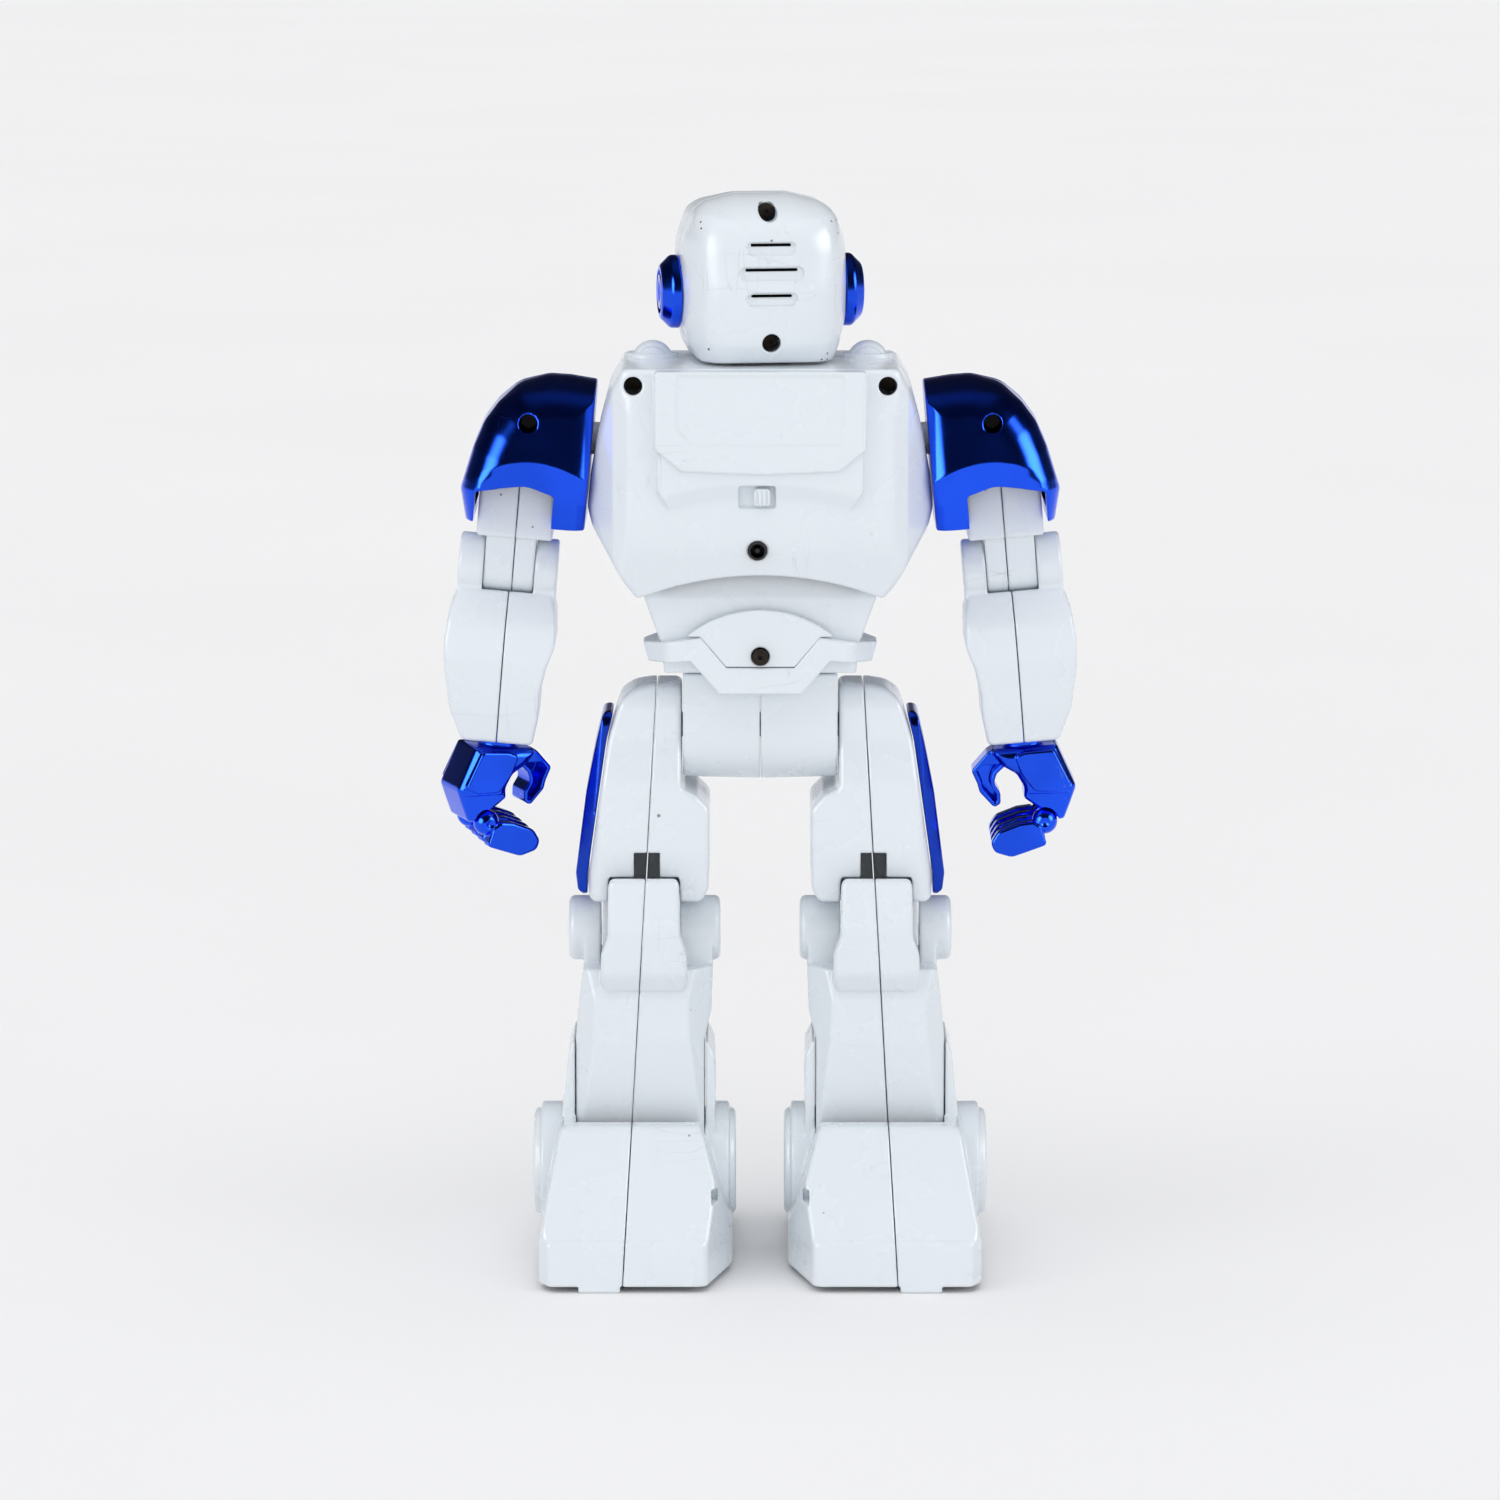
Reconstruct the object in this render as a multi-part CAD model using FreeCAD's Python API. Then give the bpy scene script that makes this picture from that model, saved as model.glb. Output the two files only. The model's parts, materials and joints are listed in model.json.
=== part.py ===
import FreeCAD, Part
import os
from math import cos, sin, tan, radians, sqrt

# Walking humanoid toy robot, about 265 mm tall, standing upright.
# Frame: +Z up, the robot faces -Y, its left side is +X, origin on the floor between the feet.
# Left limbs are modelled and the right ones are their mirror images, except the hands' turn.
# Outlines are lists of (a, b) corners in mm; a third value rounds that corner.

WALL = 2.0            # moulded shell thickness
SEAM = 0.1            # half of the gap between two shell halves
FIT = 0.06            # radial running clearance of a moulded pivot
SHIFT_Y = 3.75        # moves the model so that its box is centred on the origin

# head
HEAD_TOP, HEAD_BASE = 265.0, 226.0
HEAD_YAW = 7.5        # the head rests turned slightly to one side
EAR_Z, EAR_R, EAR_IN, EAR_OUT = 241.2, 8.9, 18.4, 24.8
EYE_X, EYE_Z, EYE_R = 7.0, 243.5, 3.0
NECK_R = 7.0

# torso, waist and pelvis
TORSO_TOP, SKIRT_EDGE, SKIRT_MID = 225.0, 168.6, 174.4
BACK_Y = 27.0         # back wall of the torso below the raised plates
DOME_X, DOME_Y, DOME_Z, DOME_R = 26.3, -3.0, 223.6, 5.1
SWITCH_X, SWITCH_Z = 0.8, 194.0
SWITCH_KNOB_X = SWITCH_X - 1.2      # the knob rests at one end of its 2.4 mm travel
JACK_X, JACK_Z, JACK_R = 0.7, 180.8, 2.25
SCREW_R, HEAD_RECESS_R = 1.2, 2.3
PELVIS_HALF, DRUM_R = 18.9, 13.2
WAIST_FLOOR = 149.0
WAIST_SCREW_Z = 154.1

# hip, knee and ankle pivots
HIP_Z, KNEE_Z, ANKLE_Z = 134.0, 82.9, 23.6
HIP_AXLE_R, PIN_R = 3.0, 3.0
THIGH_TOP_R, KNEE_R, ANKLE_R = 11.6, 8.0, 14.8
LEG_SEAM_X, LEG_SPLAY = 33.7, 0.0576      # seam x = LEG_SEAM_X - LEG_SPLAY * z

# shoulder, elbow and wrist, in the arm's own frame: its origin is on the shoulder axis
SHOULDER_X, SHOULDER_Z, ARM_TILT = 41.0, 205.0, 5.0
ELBOW_DROP, WRIST_DROP = 33.2, 77.0
ELBOW_R, ARM_CENTRE = 7.5, 17.0
UPPER_SEAM, FOREARM_SEAM = 16.6, 17.2
SHAFT_R = 4.0
WRIST_R = 5.0
HAND_TURN = {"left": 25.0, "right": 0.0}
KNUCKLE = (3.7, -19.4)
HAND_HALF = 8.5

# feet
SOLE_Z, RIM_Z = 1.2, 1.2
WHEEL_Y, WHEEL_R, WHEEL_W = -24.0, 8.0, 5.0
WHEELS_X = (18.5, 43.5)

V = FreeCAD.Vector
BIG = 200.0
PLANES = {
    "front": (lambda a, b, c: V(a, c, b), V(0, 1, 0)),
    "side": (lambda a, b, c: V(c, a, b), V(1, 0, 0)),
    "top": (lambda a, b, c: V(a, b, c), V(0, 0, 1)),
}


def closed_wire(outline, put):
    """A closed wire through the outline's corners, with an arc at each rounded one."""
    corners = [V(p[0], p[1], 0) for p in outline]
    radii = [p[2] if len(p) > 2 else 0 for p in outline]
    edges, ends = [], []
    for i, (corner, radius) in enumerate(zip(corners, radii)):
        before = corners[i - 1] - corner
        after = corners[(i + 1) % len(corners)] - corner
        if not radius:
            ends.append((corner, corner))
            continue
        half = before.getAngle(after) / 2
        reach = min(radius / tan(half), 0.49 * before.Length, 0.49 * after.Length)
        radius = reach * tan(half)
        before.normalize()
        after.normalize()
        start, end = corner + before * reach, corner + after * reach
        bisector = (before + after).normalize()
        middle = corner + bisector * (radius / sin(half) - radius)
        edges.append(Part.Arc(*[put(p.x, p.y) for p in (start, middle, end)]).toShape())
        ends.append((start, end))
    for i, (_, leave) in enumerate(ends):
        reach_next = ends[(i + 1) % len(ends)][0]
        if leave.distanceToPoint(reach_next) > 1e-6:
            edges.append(Part.makeLine(put(leave.x, leave.y), put(reach_next.x, reach_next.y)))
    return Part.Wire(Part.__sortEdges__(edges))


def prism(outline, plane, low, high):
    """The outline, drawn in a plane, extruded from low to high along that plane's normal."""
    put, normal = PLANES[plane]
    wire = closed_wire(outline, lambda a, b: put(a, b, low))
    return Part.Face(wire).extrude(normal * (high - low))


def inset(outline, wall):
    """The outline moved inwards by wall, corner by corner."""
    points = [V(p[0], p[1], 0) for p in outline]
    n = len(points)
    area = sum(points[i].x * points[(i + 1) % n].y - points[(i + 1) % n].x * points[i].y for i in range(n))
    turn = 1 if area > 0 else -1
    moved = []
    for i, p in enumerate(points):
        d1 = (p - points[i - 1]).normalize()
        d2 = (points[(i + 1) % n] - p).normalize()
        n1 = V(-d1.y, d1.x, 0) * turn
        n2 = V(-d2.y, d2.x, 0) * turn
        q = p + (n1 + n2) * (wall / (1 + n1.dot(n2)))
        radius = max(outline[i][2] - wall, 0) if len(outline[i]) > 2 else 0
        moved.append((q.x, q.y, radius))
    return moved


def block(outlines, wall=0.0):
    """Where the extruded front, side and top outlines meet, all moved inwards by wall."""
    solids = [prism(inset(o, wall) if wall else o, plane, -BIG, BIG * 2) for plane, o in outlines.items()]
    shape = solids[0]
    for other in solids[1:]:
        shape = shape.common(other)
    return shape


def both_sides(half):
    """A symmetric outline from its right half, listed from top to bottom."""
    return list(half) + [(-p[0],) + tuple(p[1:]) for p in reversed(half)]


def box(x, y, z):
    return Part.makeBox(x[1] - x[0], y[1] - y[0], z[1] - z[0], V(x[0], y[0], z[0]))


def rod_x(radius, x, y, z):
    return Part.makeCylinder(radius, x[1] - x[0], V(x[0], y, z), V(1, 0, 0))


def rod_y(radius, x, y, z):
    return Part.makeCylinder(radius, y[1] - y[0], V(x, y[0], z), V(0, 1, 0))


def rod_z(radius, x, y, z):
    return Part.makeCylinder(radius, z[1] - z[0], V(x, y, z[0]), V(0, 0, 1))


def leg_seam_x(z):
    return LEG_SEAM_X - LEG_SPLAY * z


def beside_leg_seam(sign):
    """All the space on one side of the leg's seam: +1 outer, -1 inner."""
    far = BIG * sign
    edge = SEAM * sign
    outline = [(leg_seam_x(-20) + edge, -20), (far, -20), (far, 260), (leg_seam_x(260) + edge, 260)]
    return prism(outline, "front", -BIG, BIG)


def split_leg(shape):
    return {"inner": shape.common(beside_leg_seam(-1)), "outer": shape.common(beside_leg_seam(1))}


def screw(x, y, z, length):
    """A pan-head screw along Y whose head faces the back."""
    shank = rod_y(SCREW_R, x, (y - length, y), z)
    return shank.fuse(rod_y(1.9, x, (y, y + 1.3), z)).cut(rod_y(0.6, x, (y + 0.6, y + 2), z))


# ---------------------------------------------------------------- head

HEAD = {
    "front": both_sides([(6.6, HEAD_TOP, 8), (15.6, 262.9, 6), (19.4, 253.5, 12), (19.8, 241, 20),
                         (19.3, 231.5, 6), (16.8, HEAD_BASE, 2)]),
    "side": [(-10, HEAD_TOP, 6), (-19, 260, 8), (-24, 250, 8), (-24, 236, 8), (-17, HEAD_BASE, 3),
             (17, HEAD_BASE, 2), (21.5, 229.5, 4), (23.5, 243, 20), (20.5, 257, 10), (9, HEAD_TOP, 8)],
    "top": [(-12, -24, 6), (12, -24, 6), (19.8, -11, 6), (19.8, 11, 6), (13.5, 23.5, 6), (-13.5, 23.5, 6),
            (-19.8, 11, 6), (-19.8, -11, 6)],
}
VENTS = ((254.0, 6.1), (247.8, 7.9), (241.6, 6.2))       # height and half length of each slot
HEAD_SCREWS_Y, HEAD_SCREWS_Z = (9.0, 15.0), (261.4, 230.4)


def turned(shape):
    """Head pieces share the head's resting turn."""
    shape.rotate(V(0, 0, 0), V(0, 0, 1), HEAD_YAW)
    return shape


def head_pieces():
    solid = block(HEAD)
    shell = solid.cut(block(HEAD, WALL)).cut(rod_z(NECK_R + 0.2, 0, 0, (HEAD_BASE - 1, HEAD_BASE + 3)))
    visor_outline = [(-14.5, 251, 4), (14.5, 251, 4), (15.5, 240, 3), (9, 233, 4), (-9, 233, 4), (-15.5, 240, 3)]
    shell = shell.cut(prism(visor_outline, "front", -30, -15))
    for side in (-1, 1):
        shell = shell.cut(rod_x(5.2, sorted((side * 14, side * 22)), 0, EAR_Z))
    back = shell.common(box((-30, 30), (SEAM, 40), (200, 280)))
    front = shell.common(box((-30, 30), (-40, -SEAM), (200, 280)))
    for z, half in VENTS:
        back = back.cut(box((-half + 2, half - 2), (15, 30), (z + 0.4, z + 1.1)))
    for z in HEAD_SCREWS_Z:
        back = back.cut(rod_y(HEAD_RECESS_R, 0, (8, 30), z))
    visor = solid.common(prism(inset(visor_outline, 0.15), "front", -30, -20.2))
    eyes = []
    for side in (-1, 1):
        visor = visor.cut(rod_y(EYE_R + 0.15, side * EYE_X, (-30, -15), EYE_Z))
        eyes.append(solid.common(rod_y(EYE_R, side * EYE_X, (-30, -18.4), EYE_Z)))
    ears = []
    for side in (-1, 1):
        disc = rod_x(EAR_R, (EAR_IN + 1.6, EAR_OUT), 0, EAR_Z)
        rim = [e for e in disc.Edges if abs(e.BoundBox.XMin - EAR_OUT) < 0.01 and e.BoundBox.ZLength > 1]
        disc = disc.makeChamfer(2.6, rim).fuse(rod_x(5.0, (EAR_IN - 3, EAR_IN + 1.6), 0, EAR_Z))
        ears.append(disc if side > 0 else disc.mirror(V(0, 0, 0), V(1, 0, 0)))
    speaker = rod_y(12.0, 0, (12.0, 14.0), 246).fuse(rod_y(7.0, 0, (7.0, 12.0), 246))
    neck = rod_z(NECK_R, 0, 0, (218, 232)).fuse(rod_z(9.0, 0, 0, (217, 219.5))).fuse(
        rod_z(9.0, 0, 0, (HEAD_BASE + 2.2, HEAD_BASE + 4))).cut(rod_z(4.5, 0, 0, (210, 240)))
    screws = [screw(0, y, z, 4.5) for y, z in zip(HEAD_SCREWS_Y, HEAD_SCREWS_Z)]
    pieces = {"head_front_shell": front, "head_back_shell": back, "face_visor": visor,
              "eye_lights": Part.makeCompound(eyes), "ear_discs": Part.makeCompound(ears),
              "head_speaker": speaker, "neck_post": neck, "head_screws": Part.makeCompound(screws)}
    return {name: turned(shape) for name, shape in pieces.items()}


# ---------------------------------------------------------------- torso

TORSO = {
    "front": both_sides([(33.0, TORSO_TOP, 3), (36.7, 218.6, 8), (39.2, 209, 20), (40.8, 196, 30),
                         (41.3, 187.5, 6), (40.3, 182.7, 6), (33.6, 172, 20), (31.0, SKIRT_EDGE - 0.5)]),
    "side": [(-19, TORSO_TOP, 3), (-27, 214, 12), (-31, 200, 20), (-28, 184, 20), (-21, SKIRT_EDGE - 0.5),
             (21.5, SKIRT_EDGE - 0.5), (BACK_Y, 184, 30), (BACK_Y, 214, 20), (25, TORSO_TOP, 2)],
    "top": [(-28, -31, 8), (28, -31, 8), (41.3, -13, 6), (41.3, 13, 6), (35.6, 23, 2), (31, BACK_Y, 4),
            (-31, BACK_Y, 4), (-35.6, 23, 2), (-41.3, 13, 6), (-41.3, -13, 6)],
}
TORSO_SCREWS = ((30.6, 220.6), (-30.6, 220.6))
WAIST = {
    "front": both_sides([(27.5, 177), (28.2, 168), (23.9, 156), (23.4, WAIST_FLOOR + 2.8)]),
    "side": [(-16.5, 177), (-18, 168), (-17, 156), (-16.5, WAIST_FLOOR + 2.8), (16.5, WAIST_FLOOR + 2.8),
             (17, 156), (18, 168), (16.5, 177)],
}
BELT_TOP = [(28.6, 156.7), (14.5, 158.7), (8.3, 151.3)]
BELT_BOTTOM = [(27.2, 152.1), (17.0, 153.0), (9.9, 144.9)]


def skirt_arch():
    """The space under the torso's arched lower edge."""
    ends = (-31.5, SKIRT_EDGE - 1), (0, SKIRT_MID), (31.5, SKIRT_EDGE - 1)
    arc = Part.Arc(*[V(x, -40, z) for x, z in ends]).toShape()
    closing = Part.makeLine(V(31.5, -40, SKIRT_EDGE - 1), V(-31.5, -40, SKIRT_EDGE - 1))
    return Part.Face(Part.Wire([arc, closing])).extrude(V(0, 80, 0))


def shoulder_frame(shape, side):
    """Moves a piece from the arm's own frame to the left or right shoulder."""
    shape = shape.copy()
    shape.rotate(V(0, 0, 0), V(0, 1, 0), -ARM_TILT)
    shape.translate(V(SHOULDER_X, 0, SHOULDER_Z))
    return shape if side == "left" else shape.mirror(V(0, 0, 0), V(1, 0, 0))


def torso_shells():
    shell = block(TORSO).cut(block(TORSO, WALL)).cut(rod_z(NECK_R + FIT, 0, 0, (220, 230)))
    shell = shell.cut(box((-28.6, 28.6), (-19.3, 19.3), (160, 172))).cut(skirt_arch())
    for side in ("left", "right"):
        bore = Part.makeCylinder(SHAFT_R + FIT, 20, V(-14, 0, 0), V(1, 0, 0))
        shell = shell.cut(shoulder_frame(bore, side))
    front = shell.common(box((-60, 60), (-60, -SEAM), (150, 240)))
    back = shell.common(box((-60, 60), (SEAM, 60), (150, 240)))
    for side in (-1, 1):
        dome = Part.makeSphere(DOME_R, V(side * DOME_X, DOME_Y, DOME_Z))
        above = box((-60, 60), (-40, -SEAM), (TORSO_TOP - 1.0, 240))
        front = front.fuse(dome.common(above))
    lower_plate = [(-24.8, 224), (24.8, 224), (24.8, 196.5), (22.8, 193), (0, 195.5), (-22.8, 193), (-24.8, 196.5)]
    upper_plate = [(-25.4, 224.6), (25.4, 224.6), (25.4, 205.7), (19, 200.4), (0, 199.7), (-19, 200.4), (-25.4, 205.7)]
    back = back.fuse(prism(lower_plate, "front", BACK_Y - 1.5, BACK_Y + 1.6))
    back = back.fuse(prism(upper_plate, "front", BACK_Y - 1.5, BACK_Y + 3.0))
    back = back.cut(box((SWITCH_X - 4.4, SWITCH_X + 4.4), (20, 34), (SWITCH_Z - 2.8, SWITCH_Z + 2.8)))
    back = back.cut(rod_y(JACK_R + 0.1, JACK_X, (20, 34), JACK_Z))
    for x, z in TORSO_SCREWS:
        back = back.cut(rod_y(HEAD_RECESS_R, x, (15, 34), z))
        boss = rod_y(3.6, x, (10, 20), z).common(block(TORSO, 0.5))
        back = back.fuse(boss.cut(rod_y(SCREW_R + 0.1, x, (0, 30), z)).cut(rod_y(HEAD_RECESS_R, x, (17, 34), z)))
    lens_hole = [(-11, 211, 3), (11, 211, 3), (8, 199, 4), (-8, 199, 4)]
    front = front.cut(prism(lens_hole, "front", -40, -22))
    lens = block(TORSO).common(prism(inset(lens_hole, 0.2), "front", -40, -27.2))
    return {"torso_front_shell": front, "torso_back_shell": back, "chest_lens": lens}


def waist_pieces():
    flange = box((-26.8, 26.8), (-15.8, 15.8), (WAIST_FLOOR, WAIST_FLOOR + 2.8))
    shell = block(WAIST).cut(block(WAIST, WALL))
    shell = shell.cut(block(WAIST, WALL).common(box((-60, 60), (-60, 60), (140, 200))))
    opened = inset(WAIST["front"], WALL)
    cavity = prism(opened, "front", -14.5, 14.5).common(box((-60, 60), (-60, 60), (154, 178)))
    shell = shell.cut(cavity).cut(box((-25, 25), (-14.5, 14.5), (170, 180))).fuse(flange)
    shell = shell.cut(rod_y(SCREW_R + 0.1, 0, (10, 30), WAIST_SCREW_Z))

    band = prism(BELT_TOP + [(-x, z) for x, z in reversed(BELT_TOP)]
                 + [(-x, z) for x, z in BELT_BOTTOM] + list(reversed(BELT_BOTTOM)), "front", -21, 21)
    corners = [(-20, -21, 5), (20, -21, 5), (24.6, -13, 3), (24.6, 0, 3), (28.6, 6, 3), (28.6, 13, 3), (22, 21, 5),
               (-22, 21, 5), (-28.6, 13, 3), (-28.6, 6, 3), (-24.6, 0, 3), (-24.6, -13, 3)]
    belt = band.common(prism(corners, "top", 100, 200))
    inside = {name: inset(outline, -0.15) for name, outline in WAIST.items()}
    belt = belt.cut(block(inside)).cut(box((-27.1, 27.1), (-17.4, 17.4), (100, 152.0)))

    arc = Part.Arc(V(-17.7, 18.3, 159.1), V(0, 18.3, 165.5), V(17.7, 18.3, 159.1)).toShape()
    path = [(17.7, 159.1), (14.7, 159.0), (8.4, 151.5), (-8.4, 151.5), (-14.7, 159.0), (-17.7, 159.1)]
    lines = [Part.makeLine(V(a[0], 18.3, a[1]), V(b[0], 18.3, b[1])) for a, b in zip(path, path[1:])]
    cover = Part.Face(Part.Wire([arc] + lines)).extrude(V(0, 2.2, 0))
    cover = cover.cut(rod_y(SCREW_R + 0.1, 0, (10, 30), WAIST_SCREW_Z))
    return {"waist_shell": shell, "waist_belt": belt, "waist_rear_cover": cover}


def pelvis_halves():
    top = WAIST_FLOOR - 0.2
    side = [(-DRUM_R, top), (-DRUM_R, HIP_Z - DRUM_R, DRUM_R), (DRUM_R, HIP_Z - DRUM_R, DRUM_R), (DRUM_R, top)]
    outer = prism(side, "side", -PELVIS_HALF, PELVIS_HALF)
    inner = prism(inset(side, WALL), "side", -PELVIS_HALF + WALL, PELVIS_HALF - WALL)
    drum = outer.cut(inner).cut(rod_x(HIP_AXLE_R, (-30, 30), 0, HIP_Z))
    return {"pelvis_left_half": drum.common(box((SEAM, 40), (-40, 40), (100, 160))),
            "pelvis_right_half": drum.common(box((-40, -SEAM), (-40, 40), (100, 160)))}


def torso_internals():
    body = box((SWITCH_X - 6.5, SWITCH_X + 6.5), (17.0, 21.5), (SWITCH_Z - 3.6, SWITCH_Z + 3.6))
    slot = box((SWITCH_X - 4.6, SWITCH_X + 4.6), (19.0, 23.0), (SWITCH_Z - 2.6, SWITCH_Z + 2.6))
    knob = box((SWITCH_KNOB_X - 2.0, SWITCH_KNOB_X + 2.0), (19.4, BACK_Y + 1.6), (SWITCH_Z - 2.1, SWITCH_Z + 2.1))
    jack = rod_y(4.2, JACK_X, (17.0, BACK_Y - 5.0), JACK_Z).fuse(rod_y(JACK_R, JACK_X, (20, BACK_Y - 0.3), JACK_Z))
    jack = jack.cut(rod_y(1.75, JACK_X, (20, 34), JACK_Z)).fuse(rod_y(0.55, JACK_X, (19, BACK_Y - 1.2), JACK_Z))
    board = box((-26, 26), (15.0, 16.6), (178, 214))
    for x, z, w, h in ((-14, 205, 8, 8), (10, 206, 12, 6), (16, 188, 6, 9), (-16, 187, 7, 5)):
        board = board.fuse(box((x - w / 2, x + w / 2), (13.4, 15.2), (z - h / 2, z + h / 2)))
    battery = Part.makeCompound([rod_z(7.2, x, 2.0, (180, 214)) for x in (-15.0, 0.0, 15.0)])
    motor = rod_x(8.5, (-21, 10), 0, 165).fuse(box((10, 20), (-10, 10), (155.5, 174.5)))
    axle = rod_x(HIP_AXLE_R, (-25.6, 25.6), 0, HIP_Z)
    screws = [screw(x, 17.0, z, 8.0) for x, z in TORSO_SCREWS] + [screw(0, 20.6, WAIST_SCREW_Z, 8.0)]
    return {"power_switch_body": body.cut(slot), "power_switch_knob": knob, "charging_jack": jack,
            "control_board": board, "battery_pack": battery, "hip_motor": motor, "hip_axle": axle,
            "torso_screws": Part.makeCompound(screws)}


# ---------------------------------------------------------------- arms, in the arm's own frame

PAD = {
    "front": [(-0.5, 14.2, 2), (6.7, 15.1, 8), (11.8, 15.0, 8), (18.9, 12.5, 8), (23.5, 7.7, 6), (26.6, 2.8, 10),
              (28.6, -3.2, 10), (30.8, -13.3, 3), (28.9, -21.0), (-0.5, -21.0)],
    "side": [(-9, 15.2, 8), (-18, 9, 8), (-20, -2, 8), (-19.5, -21), (19.5, -21), (20, -2, 8), (18, 9, 8), (9, 15.2, 8)],
}
FOREARM = {
    "front": [(6.6, -38.5, 1), (5.2, -43.2, 6), (4.8, -51, 4), (6.4, -56, 4), (7.5, -63, 10), (7.4, -69, 8),
              (8.4, -76.5, 2), (25.6, -76.5, 2), (29.4, -68, 10), (31.4, -58, 10), (31.9, -51, 10),
              (31.2, -43.2, 6), (29.6, -38.5, 1)],
    "side": [(-6.0, -38.5, 1), (-11.5, -46, 6), (-12.5, -55, 12), (-10.5, -68, 10), (-8.5, -76.5, 2),
             (8.5, -76.5, 2), (10.5, -68, 10), (12.5, -55, 12), (11.5, -46, 6), (6.0, -38.5, 1)],
}
PALM = [(-8.6, -0.6, 1), (8.3, -0.6, 1), (12.1, -11.1, 3), (10.7, -15.4, 2), (6.9, -16.0), (2.9, -15.2),
        (-1.2, -12.8, 1), (-1.4, -10.0, 3), (-3.8, -7.2, 2), (-6.9, -7.0, 1), (-7.6, -10.6, 3), (-6.9, -15.0, 1),
        (-8.4, -17.0, 1), (-11.3, -14.3, 2), (-13.6, -8.0, 1), (-9.2, -3.2, 1)]
FINGERS = [(3.9, -25.1, 1), (-0.1, -26.3, 2), (-5.1, -27.7, 3), (-9.4, -25.6, 2), (-10.2, -22.6, 2),
           (-8.0, -18.9, 3), (-2.4, -17.0, 2), (0.9, -17.2), (2.6, -19.4)]


def arm_split(shape, seam):
    inner = shape.common(box((-60, seam - SEAM), (-60, 60), (-160, 60)))
    outer = shape.common(box((seam + SEAM, 90), (-60, 60), (-160, 60)))
    return inner, outer


def shoulder_pads():
    shell = block(PAD).cut(block(PAD, WALL)).cut(box((1.5, 28.0), (-17.6, 17.6), (-30, -15)))
    arch = [(8.0, -22), (8.0, -13.0, 1), (15, -11.0, 8), (27.0, -13.2, 1), (27.0, -22)]
    shell = shell.cut(prism(arch, "front", -40, 40))
    shell = shell.cut(rod_x(SHAFT_R + 0.3, (-5, 5), 0, 0))
    front = shell.common(box((-60, 60), (-60, -SEAM), (-60, 60)))
    back = shell.common(box((-60, 60), (SEAM, 60), (-60, 60)))
    back = back.cut(rod_y(HEAD_RECESS_R, 15.6, (10, 30), 4.0))
    return {"shoulder_pad_front": front, "shoulder_pad_back": back}


def upper_arm():
    shoulder = box((1.8, 20.4), (-8.5, 8.5), (-14, 7.0))
    column = prism([(7.6, -10), (26.2, -10), (26.2, -25.2, 1), (7.6, -25.2, 1)], "front", -8.5, 8.5)
    tongue = rod_x(6.4, (11.5, 23.7), 0, -ELBOW_DROP).fuse(box((11.5, 23.7), (-6.4, 6.4), (-ELBOW_DROP, -25)))
    solid = shoulder.fuse(column).fuse(tongue)
    cavity = box((4.0, 18.4), (-6.5, 6.5), (-12, 5.0)).fuse(box((9.6, 24.2), (-6.5, 6.5), (-23.2, -10)))
    solid = solid.cut(cavity).cut(rod_x(PIN_R + FIT, (5, 30), 0, -ELBOW_DROP))
    shaft = rod_x(SHAFT_R, (-6.0, 2.0), 0, 0).fuse(rod_x(5.6, (-6.4, -4.4), 0, 0))
    inner, outer = arm_split(solid, UPPER_SEAM)
    return {"upper_arm_inner": inner.fuse(shaft), "upper_arm_outer": outer}


def forearm():
    body = block(FOREARM).cut(block(FOREARM, WALL))
    body = body.cut(rod_z(WRIST_R + FIT, ARM_CENTRE, 0, (-80, -70)))
    cheeks = [rod_x(ELBOW_R, x, 0, -ELBOW_DROP).fuse(box(x, (-6.0, 6.0), (-41, -ELBOW_DROP)))
              for x in ((5.8, 11.0), (24.2, 30.0))]
    pins = [rod_x(PIN_R, x, 0, -ELBOW_DROP) for x in ((10.0, 16.0), (18.0, 25.0))]
    saddle = rod_x(ELBOW_R - 0.5, (11.1, 24.1), 0, -ELBOW_DROP)
    body = body.cut(saddle)
    inner, outer = arm_split(body, FOREARM_SEAM)
    return {"forearm_inner": inner.fuse(cheeks[0]).fuse(pins[0]), "forearm_outer": outer.fuse(cheeks[1]).fuse(pins[1])}


def hand(side):
    """The hand in the arm's frame, turned about the wrist: a shell with the thumb, and the four fingers."""
    knuckle_h, knuckle_v = KNUCKLE
    palm = prism(PALM, "front", -7.5, 7.5)
    thumb_gap = box((-20, -5.6), (4.0, 12), (-30, -4)).fuse(box((-20, -5.6), (-12, -4.0), (-30, -4)))
    palm = palm.cut(thumb_gap)
    lug = prism([(11.5, -15.0), (2.4, -15.0), (2.2, -21.5), (7.0, -21.5, 1)], "front", -2.0, 2.0)
    palm = palm.fuse(lug).cut(rod_y(1.2 + FIT, knuckle_h, (-10, 10), knuckle_v))
    cuff = rod_z(WRIST_R, 0, 0, (-1, 6)).fuse(rod_z(6.6, 0, 0, (3.2, 5.4)))
    palm = palm.fuse(cuff)
    fingers = prism(FINGERS, "front", -HAND_HALF, HAND_HALF)
    fingers = fingers.fuse(rod_y(3.2, knuckle_h, (-HAND_HALF, HAND_HALF), knuckle_v))
    fingers = fingers.cut(box((0.0, 12), (-2.4, 2.4), (-30, -14)))
    fingers = fingers.fuse(rod_y(1.2, knuckle_h, (-3, 3), knuckle_v))
    for i in (-1, 0, 1):
        groove = 2 * HAND_HALF / 4 * i
        fingers = fingers.cut(box((-12, -1.0), (groove - 0.2, groove + 0.2), (-19.6, -16)))
    pieces = {"hand_shell": palm, "fingers": fingers}
    for name, shape in pieces.items():
        shape.rotate(V(0, 0, 0), V(0, 0, 1), HAND_TURN[side])
        shape.translate(V(ARM_CENTRE, 0, -WRIST_DROP))
    return pieces


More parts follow.
